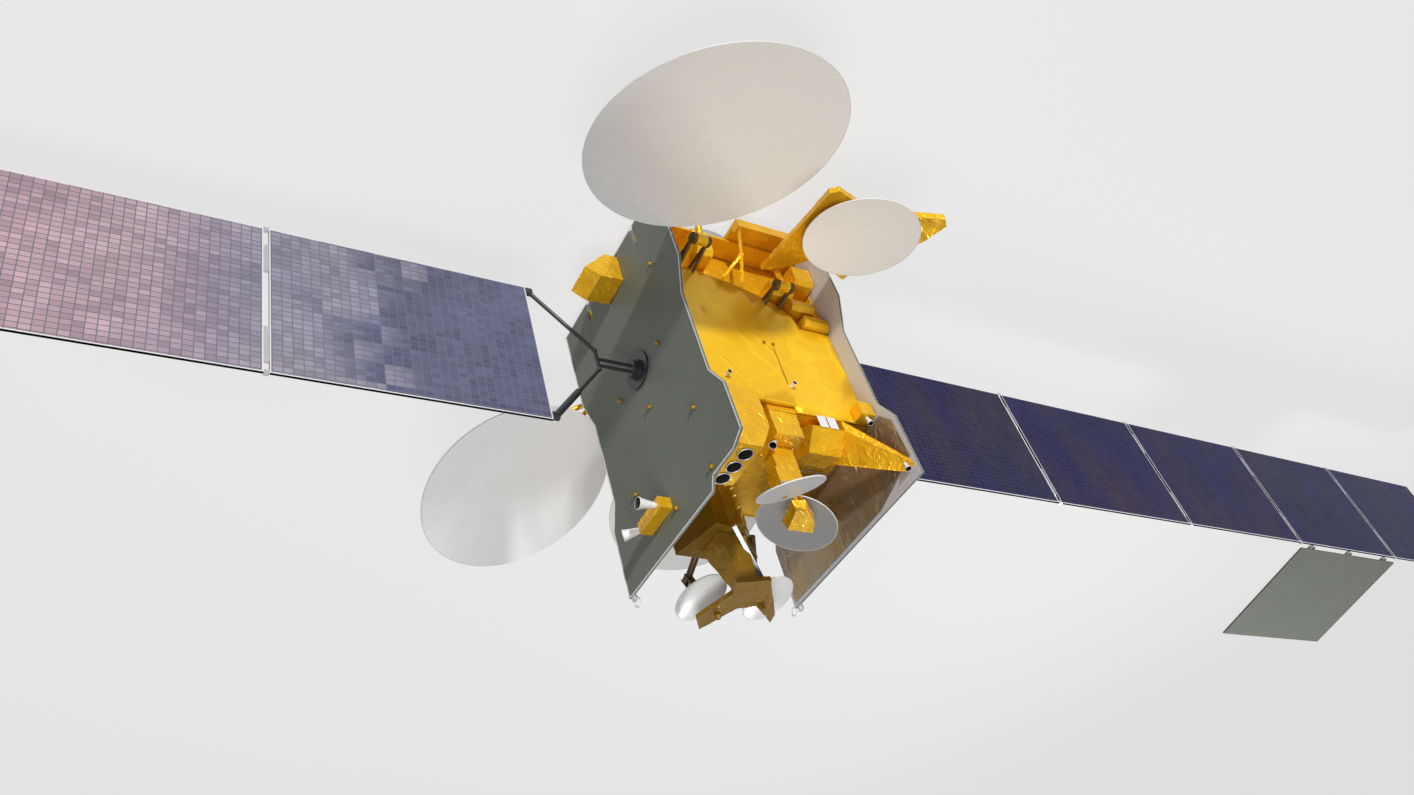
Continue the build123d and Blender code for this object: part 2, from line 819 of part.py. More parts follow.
# middles of the mouths: (x, in from the radiator's face)
feed_mouths = ((1070, 225), (850, 205), (640, 175))
feed_block_back = 540           # its faces in x
feed_block_face = 1230
feed_block_depth = 375          # from its south edge to the radiator
feed_block_south = radiator_reach - feed_block_depth
feed_block_top = 2240
feed_block_waist = 1900
feed_block_lean = 200           # its foot and waist reach further south
with BuildPart() as feed_block:
    with BuildSketch(Plane.YZ.offset(feed_block_back)):
        with BuildLine():
            Polyline(
                (feed_block_south - feed_block_lean, deck),
                (radiator_reach, deck),
                (radiator_reach, up(feed_block_top)),
                (feed_block_south, up(feed_block_top)),
                (feed_block_south - feed_block_lean, up(feed_block_waist)),
                close=True,
            )
        make_face()
    extrude(amount=feed_block_face - feed_block_back)
    with BuildSketch(Plane.XY.offset(up(feed_block_top))):
        with Locations(*[(x, radiator_reach - inset) for x, inset in feed_mouths]):
            Circle(feed_mouth_radius)
    extrude(amount=-feed_mouth_depth, taper=feed_mouth_taper, mode=Mode.SUBTRACT)
save(feed_block.part, "feed_block")

# ---------------------------------------------------------------- deck antennas
bowl_stem = 140
bowl_stem_radius = 30
trim_eye_radius = 50
trim_eye_length = 70
trim_pin_radius = 16
trim_cheek = 20

# name, rim diameter, depth, centre (z above the array axis), front, foot of the post (x, y, z)
deck_dishes = (
    ("gregorian_main", 1000, 80, (0, -400, 2200), (-0.12, 0.43, 0.89), (60, -600, deck_level)),
    ("spot_left", 740, 70, (-1300, 300, 2450), (0.24, -0.21, 0.95), (-940, 300, 1800)),
    ("spot_right", 740, 70, (-1200, -640, 2450), (0.22, -0.15, 0.96), (-800, -360, 1800)),
)
for name, diameter, depth, centre, front, foot in deck_dishes:
    radius = diameter / 2
    middle = Vector(centre[0], centre[1], up(centre[2]))
    facing = Vector(front).normalized()
    inward = (Vector(1, 0, 0) - facing * facing.X).normalized()
    bowl_plane = Plane(origin=middle, x_dir=inward, z_dir=facing)
    profile_plane = Plane(origin=middle, x_dir=inward, z_dir=-bowl_plane.y_dir)
    trim_axis = Vector(0, 1, 0).cross(facing).normalized()
    pin_middle = middle - facing * (depth + dish_skin + bowl_stem)
    pin_plane = Plane(origin=pin_middle, x_dir=facing, z_dir=trim_axis)
    with BuildPart() as bowl:
        with BuildSketch(profile_plane):
            with BuildLine():
                Line((0, -depth - dish_skin), (0, -depth))
                TangentArc((0, -depth), (radius, 0), tangent=(1, 0))
                Line((radius, 0), (radius, -dish_skin))
                TangentArc((0, -depth - dish_skin), (radius, -dish_skin), tangent=(1, 0))
            make_face()
            with Locations((bowl_stem_radius / 2, -depth - dish_skin / 2 - bowl_stem / 2)):
                Rectangle(bowl_stem_radius, bowl_stem)
        revolve(axis=Axis(middle, facing))
        with BuildSketch(pin_plane.offset(-trim_eye_length / 2)):
            Circle(trim_eye_radius)
        extrude(amount=trim_eye_length)
        with BuildSketch(pin_plane.offset(-trim_eye_length / 2)):
            Circle(trim_pin_radius + pin_clearance)
        extrude(amount=trim_eye_length, mode=Mode.SUBTRACT)
    save(bowl.part, name)

    cheek_gap = trim_eye_length / 2 + running_gap
    with BuildPart() as mast:
        with BuildSketch(pin_plane.offset(-cheek_gap - trim_cheek)):
            Circle(trim_pin_radius)
        extrude(amount=2 * (cheek_gap + trim_cheek))
        below = pin_middle - facing * (trim_eye_radius + 60)
        for start in (-cheek_gap - trim_cheek, cheek_gap):
            with BuildSketch(pin_plane.offset(start)):
                Circle(trim_eye_radius)
                with Locations((-trim_eye_radius - 30, 0)):
                    Rectangle(2 * trim_eye_radius + 60, 2 * trim_eye_radius)
            extrude(amount=trim_cheek)
        with BuildSketch(pin_plane.offset(-cheek_gap - trim_cheek)):
            with Locations((-trim_eye_radius - 60, 0)):
                Rectangle(80, 2 * trim_eye_radius)
        extrude(amount=2 * (cheek_gap + trim_cheek))
        strut(below, (foot[0], foot[1], up(foot[2])), 45)
        add(deck_tower.part, mode=Mode.SUBTRACT)
        add(central_body.part, mode=Mode.SUBTRACT)
    save(mast.part, f"{name}_mast")

# subreflector on the antenna tower
sub_centre = (930, 400, 2540)
sub_front = Vector(-0.286, -0.246, 0.926).normalized()
sub_radius = 410
sub_thickness = 16
sub_stem_radius = 35
sub_hub_radius = 60             # disc behind the plate
sub_hub_depth = 40
sub_plane = Plane(origin=(sub_centre[0], sub_centre[1], up(sub_centre[2])), z_dir=sub_front)
sub_foot = (head_face - sub_stem_radius, head_north - sub_stem_radius, up(head_level) - 10)

with BuildPart() as subreflector:
    with BuildSketch(sub_plane.offset(-sub_thickness)):
        Circle(sub_radius)
    extrude(amount=sub_thickness)
    with BuildSketch(sub_plane.offset(-sub_thickness)):
        Circle(sub_hub_radius)
    extrude(amount=-sub_hub_depth)
    strut(sub_plane.origin - sub_front * sub_hub_depth, sub_foot, sub_stem_radius)
    add(antenna_tower.part, mode=Mode.SUBTRACT)
save(subreflector.part, "subreflector")

# three-armed feed plate over the spot antennas: (x, y)
spot_level = deck_dishes[1][3][2]
star_height = spot_level + 200
star_thickness = 70
# tapering box that carries it: (middle x, middle y, length, width) at its foot and head
star_box_foot = (-650, 250, 440, 400)
star_box_head = (-700, 80, 240, 240)
star_outline = (
    (-1600, 250),
    (-1380, 410),
    (-820, 210),
    (-590, 290),
    (-470, -150),
    (-570, -210),
    (-1170, -640),
    (-1350, -670),
    (-1020, -250),
    (-1110, -20),
)
lump_places = ((-1250, 180), (-1000, -330))
lump_radius = 45
lump_height = 60

with BuildPart() as star_feed:
    with BuildSketch(Plane.XY.offset(up(star_height))):
        with BuildLine():
            Polyline(*star_outline, close=True)
        make_face()
    extrude(amount=star_thickness)
    with BuildSketch(Plane.XY.offset(up(star_height) + star_thickness)):
        with Locations(*lump_places):
            Circle(lump_radius)
    extrude(amount=lump_height, taper=10)
    for level, (x, y, length, width) in (
        (up(tower_top), star_box_foot),
        (up(star_height) + star_thickness / 4, star_box_head),
    ):
        with BuildSketch(Plane.XY.offset(level)):
            with Locations((x, y)):
                Rectangle(length, width)
    loft(ruled=True)
save(star_feed.part, "star_feed")

# ---------------------------------------------------------------- outside fittings
# ion thruster modules on the radiators, in section: (reach, height above the array axis)
module_back = -210
module_length = 460
module_section = (
    (radiator_face, -1910),
    (radiator_face + 187, -1910),
    (radiator_face + 557, -1540),
    (radiator_face + 347, -1410),
    (radiator_face, -1440),
)
for side, name in ((1, "thruster_module_north"), (-1, "thruster_module_south")):
    with BuildPart() as module:
        with BuildSketch(Plane.YZ.offset(module_back)):
            with BuildLine():
                Polyline(*[(side * y, up(z)) for y, z in module_section], close=True)
            make_face()
        extrude(amount=module_length)
    save(module.part, name)

horn_shelf_back = -640
horn_shelf_face = -110
horn_shelf_reach = radiator_face + 167
horn_shelf_foot = 1950
horn_shelf_top = 2110
with BuildPart() as horn_bracket:
    block(
        (horn_shelf_back, horn_shelf_face),
        (radiator_face, horn_shelf_reach),
        (up(horn_shelf_foot), up(horn_shelf_top)),
    )
save(horn_bracket.part, "horn_bracket")

horn_length = 240
horn_throat_radius = 30
horn_mouth_radius = 72
horn_skin = 5
horn_root = 60                  # solid length behind the throat
horn_level = (horn_shelf_foot + horn_shelf_top) / 2
with BuildPart() as command_horns:
    for x, y, way in (
        (horn_shelf_face - 80, horn_shelf_reach, (0, 1, 0)),
        (horn_shelf_back, horn_shelf_reach - 60, (-0.65, 0.76, 0)),
    ):
        root = Plane(origin=(x, y, up(horn_level)), z_dir=way)
        with BuildSketch(root):
            Circle(horn_throat_radius)
        with BuildSketch(root.offset(horn_length)):
            Circle(horn_mouth_radius)
        loft()
        with BuildSketch(root.offset(horn_root)):
            Circle(horn_throat_radius - horn_skin)
        with BuildSketch(root.offset(horn_length)):
            Circle(horn_mouth_radius - horn_skin)
        loft(mode=Mode.SUBTRACT)
    add(horn_bracket.part, mode=Mode.SUBTRACT)
save(command_horns.part, "command_horns")

wall_box_reach = wall_reach + 170
wall_box_south = 25 - radiator_reach
wall_box_width = 220
wall_box_top = 1310
wall_box_height = 210
with BuildPart() as wall_box:
    block(
        (wall_reach, wall_box_reach),
        (wall_box_south, wall_box_south + wall_box_width),
        (up(wall_box_top) - wall_box_height, up(wall_box_top)),
    )
save(wall_box.part, "wall_box")

# attitude thrusters: a short collar and a flared nozzle
nozzle_collar = 26
nozzle_throat = 12
nozzle_skin = 4
# foot (x, y, z above the array axis), way it fires, length, mouth radius
thruster_places = (
    ((wall_reach, 790, 920), (1, 0, 0), 75, 32),
    ((wall_reach, -170, 890), (1, 0, 0), 75, 32),
    (
        (wall_box_reach - 60, wall_box_south + wall_box_width / 2, wall_box_top),
        (0.2, 0, 0.98),
        120,
        40,
    ),
    ((tower_face - 140, tower_north - 50, shoulder_level), (0.2, 0.6, 0.77), 130, 48),
    ((1280, 45 - radiator_reach, 2184), (0.2, 0.1, 0.97), 90, 40),
)

with BuildPart() as thrusters:
    for (x, y, z), way, length, mouth_radius in thruster_places:
        foot = Plane(origin=Vector(x, y, up(z)), z_dir=way)
        with BuildSketch(foot.offset(-nozzle_collar / 2)):
            Circle(nozzle_collar)
        extrude(amount=nozzle_collar)
        with BuildSketch(foot):
            Circle(nozzle_throat + nozzle_skin)
        with BuildSketch(foot.offset(length)):
            Circle(mouth_radius)
        loft()
        with BuildSketch(foot.offset(nozzle_collar)):
            Circle(nozzle_throat)
        with BuildSketch(foot.offset(length)):
            Circle(mouth_radius - nozzle_skin)
        loft(mode=Mode.SUBTRACT)
    for piece in (walls[1], wall_box.part, corner_blanket.part, antenna_tower.part):
        add(piece, mode=Mode.SUBTRACT)
save(thrusters.part, "thrusters")

# hoist rings on the radiators' Earth-side corners
hoist_bore = 28
hoist_rim = 50
hoist_thickness = 20
hoist_place = -1330
with BuildPart() as hoist_rings:
    for side, height in ((1, 2470), (-1, 2410)):
        with BuildSketch(Plane.XZ.offset(-side * (radiator_reach + 4))):
            with Locations((hoist_place, up(height + hoist_rim - 1))):
                Circle(hoist_rim)
            with Locations((hoist_place, up(height) + 10)):
                Rectangle(70, 20)
            with Locations((hoist_place, up(height + hoist_rim - 1))):
                Circle(hoist_bore, mode=Mode.SUBTRACT)
        extrude(amount=-side * hoist_thickness)
    add(radiators[1], mode=Mode.SUBTRACT)
    add(radiators[-1], mode=Mode.SUBTRACT)
save(hoist_rings.part, "hoist_rings")
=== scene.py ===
"""Looks of a deployed communications satellite, dressed around its packed construction model.

Every length is in metres in the frame of the construction model: +Z towards the Earth-facing
end, +Y along the north wing and +X towards the side that the solar cells face.
"""

import json
import logging
import math
import random
from dataclasses import dataclass, field, replace
from enum import Enum
from typing import Any, Iterable, Optional, Sequence

import bmesh
import bpy
from mathutils import Matrix, Vector, noise


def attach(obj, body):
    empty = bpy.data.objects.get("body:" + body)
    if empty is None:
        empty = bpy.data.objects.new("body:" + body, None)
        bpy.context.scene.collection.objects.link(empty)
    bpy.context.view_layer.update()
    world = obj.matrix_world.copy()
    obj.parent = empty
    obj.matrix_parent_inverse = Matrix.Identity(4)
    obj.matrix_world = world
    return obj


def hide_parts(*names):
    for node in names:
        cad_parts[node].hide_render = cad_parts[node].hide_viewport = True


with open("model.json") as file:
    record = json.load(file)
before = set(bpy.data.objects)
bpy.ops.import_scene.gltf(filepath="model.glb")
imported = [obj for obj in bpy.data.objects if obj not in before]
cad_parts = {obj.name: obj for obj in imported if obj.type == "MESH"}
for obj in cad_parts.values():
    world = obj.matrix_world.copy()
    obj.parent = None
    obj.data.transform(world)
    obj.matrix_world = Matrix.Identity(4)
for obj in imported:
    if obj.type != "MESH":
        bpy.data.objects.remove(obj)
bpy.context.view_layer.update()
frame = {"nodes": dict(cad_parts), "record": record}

log = logging.getLogger("satellite")

Point = Sequence[float]
Pair = tuple[float, float]
Colour = tuple[float, float, float]

NODES: dict[str, bpy.types.Object] = frame["nodes"]
BODIES: dict[str, list[str]] = frame["record"]["behaviour"]["bodies"]
AXIS_HEIGHT = 2.25  # solar array axis above the separation plane
RADIATOR_INNER_FACE = 1.225  # of each radiator panel, from the centre
CELL_LENGTH = 0.105  # of one solar cell, along the wing
CELL_WIDTH = 0.075
DISH_SKIN = 0.014  # thickness of every dish's bowl
UPWARD = (0.0, 0.0, 1.0)
WHITE_LIGHT = (1.0, 1.0, 1.0)


def above(height: float) -> float:
    """Height above the separation plane of a height above the array axis."""
    return AXIS_HEIGHT + height


def around(steps: int, start: float = 0.0) -> list[Pair]:
    """Even steps round a circle.

    Args:
        steps: how many there are.
        start: where the first one is, in steps.

    Returns:
        The cosine and sine of each.
    """
    turns = [math.tau * (step + start) / steps for step in range(steps)]
    return [(math.cos(turn), math.sin(turn)) for turn in turns]


def linked(name: str, data: Any) -> bpy.types.Object:
    """Puts an object in the scene.

    Args:
        name: its name.
        data: its mesh, lamp or camera.

    Returns:
        The new object.
    """
    thing = bpy.data.objects.new(name, data)
    bpy.context.scene.collection.objects.link(thing)
    return thing


# ----------------------------------------------------------------------------- shader graphs


class Graph:
    """Adds and wires the nodes of one shader node tree."""

    def __init__(self, tree: bpy.types.NodeTree) -> None:
        """Keeps the tree that the nodes go into."""
        self.tree = tree

    @classmethod
    def emptied(cls, owner: Any) -> "Graph":
        """Starts the graph of a material or a world afresh.

        Args:
            owner: the material or world.

        Returns:
            Its graph, without any node.
        """
        owner.use_nodes = True
        owner.node_tree.nodes.clear()
        return cls(owner.node_tree)

    def add(self, kind: str, **values: Any) -> bpy.types.Node:
        """Adds a node.

        Args:
            kind: the node's type without its "ShaderNode" prefix.
            values: properties of the node, or input sockets by name with "_" for spaces.

        Returns:
            The new node.
        """
        node = self.tree.nodes.new("ShaderNode" + kind)
        for name, value in values.items():
            if hasattr(node, name):
                setattr(node, name, value)
            else:
                self.feed(node.inputs[name.replace("_", " ")], value)
        return node

    def feed(self, socket: bpy.types.NodeSocket, value: Any) -> None:
        """Links an output socket to an input socket, or sets its constant.

        Args:
            socket: the input socket.
            value: the output socket or the constant.
        """
        if isinstance(value, bpy.types.NodeSocket):
            self.tree.links.new(value, socket)
        elif isinstance(value, tuple) and len(value) == 3 and socket.type == "RGBA":
            socket.default_value = (*value, 1.0)
        else:
            socket.default_value = value

    def chain(self, kind: str, terms: Sequence[Any], **values: Any) -> bpy.types.NodeSocket:
        """Adds a node whose inputs are fed in order.

        Args:
            kind: the node's type without its "ShaderNode" prefix.
            terms: what its first inputs get.
            values: its properties and its inputs by name.

        Returns:
            Its first output.
        """
        node = self.add(kind, **values)
        for socket, term in zip(node.inputs, terms):
            self.feed(socket, term)
        return node.outputs[0]

    def maths(self, operation: str, *terms: Any) -> bpy.types.NodeSocket:
        """One Math node on its terms; returns its output."""
        return self.chain("Math", terms, operation=operation)

    def mix(self, factor: Any, first: Any, second: Any, blend: str = "MIX") -> Any:
        """Mixes two colours.

        Args:
            factor: share of the second one.
            first: a colour or an output socket.
            second: the other one.
            blend: how they are mixed.

        Returns:
            The mixed colour's output socket.
        """
        node = self.add("Mix", data_type="RGBA", blend_type=blend, Factor=factor)
        self.feed(node.inputs[6], first)
        self.feed(node.inputs[7], second)
        return node.outputs[2]

    def ramp(self, value: Any, low: float, high: float) -> bpy.types.NodeSocket:
        """Maps low..high smoothly to 0..1.

        Args:
            value: the output socket with the value.
            low: what becomes 0.
            high: what becomes 1.

        Returns:
            The output socket.
        """
        node = self.add(
            "MapRange", interpolation_type="SMOOTHSTEP", Value=value, From_Min=low, From_Max=high
        )
        return node.outputs["Result"]


class Effect(Enum):
    """Shader groups that more than one finish uses."""

    CRINKLE = "crinkled_film"
    GRID = "tile_grid"
    MOTTLE = "soft_mottling"


def effect_group(effect: Effect) -> bpy.types.NodeTree:
    """Builds a shared shader group once.

    Args:
        effect: which group.

    Returns:
        The node group.
    """
    if effect.value not in bpy.data.node_groups:
        builders = {
            Effect.CRINKLE: build_crinkle,
            Effect.GRID: build_grid,
            Effect.MOTTLE: build_mottle,
        }
        builders[effect](bpy.data.node_groups.new(effect.value, "ShaderNodeTree"))
    return bpy.data.node_groups[effect.value]


def new_sockets(
    tree: bpy.types.NodeTree, inputs: dict[str, Optional[float]], outputs: Sequence[str]
) -> tuple[Any, Any]:
    """Gives a group its named sockets.

    Args:
        tree: the group.
        inputs: name to default of each float input, or to None for a vector input.
        outputs: names of the group's float outputs.

    Returns:
        The inputs' sockets inside the group, and the sockets that feed its outputs.
    """
    for name, default in inputs.items():
        kind = "NodeSocketVector" if default is None else "NodeSocketFloat"
        socket = tree.interface.new_socket(name=name, in_out="INPUT", socket_type=kind)
        if default is not None:
            socket.default_value = default
    for name in outputs:
        tree.interface.new_socket(name=name, in_out="OUTPUT", socket_type="NodeSocketFloat")
    entry, out = tree.nodes.new("NodeGroupInput"), tree.nodes.new("NodeGroupOutput")
    return entry.outputs, out.inputs


def build_crinkle(tree: bpy.types.NodeTree) -> None:
    """Soft sways of a metallised film and long sharp ridges that run over parts of it.

    Args:
        tree: the new group.
    """
    sway_share = 0.6  # of the ridges' scale
    ridged = (0.42, 0.58)  # over this range of the sway the ridges set in
    ridge_width, ridge_height = 0.08, 0.16
    source, out = new_sockets(
        tree, {"Vector": None, "Scale": 4.0, "Warp": 0.25}, ("Height", "Ridge")
    )
    g = Graph(tree)
    vector, scale = source["Vector"], source["Scale"]
    drift = g.add("TexNoise", Vector=vector, Scale=scale, Detail=1.0).outputs["Color"]
    offset = g.add("VectorMath", operation="SCALE", Scale=source["Warp"])
    g.feed(offset.inputs[0], drift)
    place = g.chain("VectorMath", (vector, offset.outputs[0]), operation="ADD")
    edge = g.add("TexVoronoi", feature="DISTANCE_TO_EDGE", Vector=place, Scale=scale)
    slow = g.maths("MULTIPLY", scale, sway_share)
    sway = g.add("TexNoise", Vector=vector, Scale=slow, Detail=1.0).outputs["Fac"]
    sharp = g.ramp(edge.outputs["Distance"], ridge_width, 0.0)
    ridge = g.maths("MULTIPLY", sharp, g.ramp(sway, *ridged))
    g.feed(out["Height"], g.maths("MULTIPLY_ADD", ridge, ridge_height, sway))
    g.feed(out["Ridge"], ridge)


def build_grid(tree: bpy.types.NodeTree) -> None:
    """Rectangular tiles: the joints between them and a random value for each tile.

    Args:
        tree: the new group.
    """
    sizes = {"Across": "Tile Width", "Along": "Tile Length"}
    defaults = {"Across": 0.0, "Along": 0.0, "Tile Width": 0.04, "Tile Length": 0.04}
    source, out = new_sockets(tree, defaults | {"Joint": 0.003}, ("Line", "Tint", "Cross Line"))
    g = Graph(tree)
    half_joint = g.maths("MULTIPLY", source["Joint"], 0.5)
    cells, lines = [], []
    for place, size in sizes.items():
        scaled = g.maths("DIVIDE", source[place], source[size])
        cells.append(g.maths("FLOOR", scaled))
        off_centre = g.maths("ABSOLUTE", g.maths("SUBTRACT", g.maths("FRACT", scaled), 0.5))
        to_edge = g.maths("MULTIPLY", g.maths("SUBTRACT", 0.5, off_centre), source[size])
        lines.append(g.maths("LESS_THAN", to_edge, half_joint))
    cell = g.add("CombineXYZ", X=cells[0], Y=cells[1]).outputs[0]
    tint = g.add("TexWhiteNoise", noise_dimensions="2D", Vector=cell)
    g.feed(out["Line"], g.maths("MAXIMUM", *lines))
    g.feed(out["Tint"], tint.outputs["Value"])
    g.feed(out["Cross Line"], lines[0])


def build_mottle(tree: bpy.types.NodeTree) -> None:
    """Soft large patches with finer streaks in them, from 0 to 1.

    Args:
        tree: the new group.
    """
    streak_share = 14.0  # streaks for each patch
    source, out = new_sockets(tree, {"Vector": None, "Scale": 2.0}, ("Value", "Fine"))
    g = Graph(tree)
    vector, scale = source["Vector"], source["Scale"]
    small = g.maths("MULTIPLY", scale, streak_share)
    broad = g.add("TexNoise", Vector=vector, Scale=scale, Detail=4.0)
    fine = g.add("TexNoise", Vector=vector, Scale=small, Detail=6.0, Roughness=0.65)
    g.feed(out["Value"], g.ramp(broad.outputs["Fac"], 0.32, 0.68))
    g.feed(out["Fine"], g.ramp(fine.outputs["Fac"], 0.3, 0.7))


# ----------------------------------------------------------------------------- finishes


class Surface(Graph):
    """Graph of one material: a Principled shader, fed by object coordinates."""

    def __init__(self, material: bpy.types.Material, roughness: float, metallic: float) -> None:
        """Wires the shader to the material's output.

        Args:
            material: the new material.
            roughness: its roughness.
            metallic: how metallic it is.
        """
        super().__init__(Graph.emptied(material).tree)
        self.shader = self.add("BsdfPrincipled", Roughness=roughness, Metallic=metallic)
        self.add("OutputMaterial", Surface=self.shader.outputs[0])
        self.place = self.add("TexCoord").outputs["Object"]

    def set(self, **values: Any) -> None:
        """Feeds the shader's inputs, given by name with "_" for spaces."""
        for name, value in values.items():
            self.feed(self.shader.inputs[name.replace("_", " ")], value)

    def effect(self, kind: Effect, **values: Any) -> Any:
        """Places a shared effect group with values of its own; returns its outputs."""
        return self.add("Group", node_tree=effect_group(kind), **values).outputs

    def mottle(self, scale: float) -> Any:
        """Places the mottling at a scale; returns its outputs."""
        return self.effect(Effect.MOTTLE, Vector=self.place, Scale=scale)

    def set_roughness(self, value: Any, change: float, base: float) -> None:
        """Varies the roughness.

        Args:
            value: output socket that it follows.
            change: how much rougher it is where the value is 1.
            base: the roughness where the value is 0.
        """
        self.set(Roughness=self.maths("MULTIPLY_ADD", value, change, base))

    def bump(self, height: Any, strength: float, depth: float) -> None:
        """Feeds a height to the shader's normal.

        Args:
            height: output socket with the height.
            strength: how strongly the bump shows.
            depth: height of a full step in metres.
        """
        bump = self.add("Bump", Height=height, Strength=strength, Distance=depth)
        self.set(Normal=bump.outputs[0])


@dataclass(frozen=True)
class Finish:
    """A surface's look; each kind of finish adds its own shader on top.

    Fields: name of the material, its record slot, base colour, roughness, metallic and how far
    its mottling shows.
    """

    name: str
    slot: str
    colour: Colour
    roughness: float = 0.5
    metallic: float = 0.0
    mottling: float = field(default=0.6, kw_only=True)

    def material(self) -> bpy.types.Material:
        """Builds the material on first use, under a name that no imported one has.

        Returns:
            The material.
        """
        label = f"{self.name}_look"
        if label not in bpy.data.materials:
            material = bpy.data.materials.new(label)
            self.shade(Surface(material, self.roughness, self.metallic))
            material.diffuse_color = (*self.colour, 1.0)
        return bpy.data.materials[label]

    def tone(self, factor: float) -> Colour:
        """The base colour, made lighter or darker by a factor."""
        return tuple(min(1.0, channel * factor) for channel in self.colour)

    def shade(self, s: Surface) -> None:
        """Colour with soft mottling and a little roughness change.

        Args:
            s: the material's graph.
        """
        mottle = s.mottle(2.5)
        share = s.maths("MULTIPLY", mottle["Fine"], self.mottling)
        s.set(Base_Color=s.mix(share, self.colour, self.tone(0.82)))
        s.set_roughness(mottle["Value"], 0.12, self.roughness - 0.06)
        s.bump(mottle["Fine"], self.mottling * 0.25, 0.001)


@dataclass(frozen=True)
class FoilFinish(Finish):
    """Creased metallised film.

    Fields: its colour in patches, how far those patches show, and its ridges per metre.
    """

    deep: Colour = (0.45, 0.19, 0.006)
    depth: float = 0.35
    scale: float = 5.0

    def shade(self, s: Surface) -> None:
        """Soft patches of colour and a painted highlight along the coarse ridges, with sways and
        ridges in two sizes in the bump.

        Args:
            s: the material's graph.
        """
        fine_scale = self.scale * 2.7
        coarse = s.effect(Effect.CRINKLE, Vector=s.place, Scale=self.scale, Warp=0.3)
        fine = s.effect(Effect.CRINKLE, Vector=s.place, Scale=fine_scale, Warp=0.1)
        mottle = s.mottle(1.3)
        patch = s.maths("MULTIPLY", mottle["Value"], self.depth)
        # painted highlight: the coarse ridges are drawn in a lighter tone of the film
        ridge = s.maths("MULTIPLY", coarse["Ridge"], 0.35)
        patched = s.mix(patch, self.colour, self.deep)
        s.set(Specular_IOR_Level=0.3, Base_Color=s.mix(ridge, patched, self.tone(1.25)))
        s.set_roughness(mottle["Value"], 0.08, self.roughness - 0.04)
        s.bump(s.maths("MULTIPLY_ADD", fine["Height"], 0.25, coarse["Height"]), 0.5, 0.06)


@dataclass(frozen=True)
class TileFinish(Finish):
    """Second-surface mirror tiles.

    Fields: a tile's width across its row, the joint's width and colour, and the axes along and
    across the rows.
    """

    tile: float = 0.04
    joint: float = 0.008
    joint_colour: Colour = (0.24, 0.265, 0.22)
    axes: tuple[str, str] = ("X", "Z")

    def shade(self, s: Surface) -> None:
        """Tiles in rows with pale joints, and a slight change from tile to tile.

        Args:
            s: the material's graph.
        """
        parts = s.add("SeparateXYZ", Vector=s.place).outputs
        grid = s.effect(
            Effect.GRID,
            Across=parts[self.axes[0]],
            Along=parts[self.axes[1]],
            Tile_Width=self.tile * 2,
            Tile_Length=self.tile,
            Joint=self.joint,
        )
        slow = s.maths("MULTIPLY", s.mottle(1.2)["Value"], 0.5)
        tint = s.maths("MULTIPLY_ADD", grid["Tint"], 0.4, slow)
        tiles = s.mix(tint, self.colour, self.tone(1.2))
        rows = s.mix(grid["Line"], tiles, self.joint_colour)
        s.set(Specular_IOR_Level=0.2, Base_Color=s.mix(grid["Cross Line"], rows, self.colour))
        s.set_roughness(grid["Tint"], 0.15, self.roughness)
        s.bump(s.maths("SUBTRACT", 1.0, grid["Line"]), 0.5, 0.001)


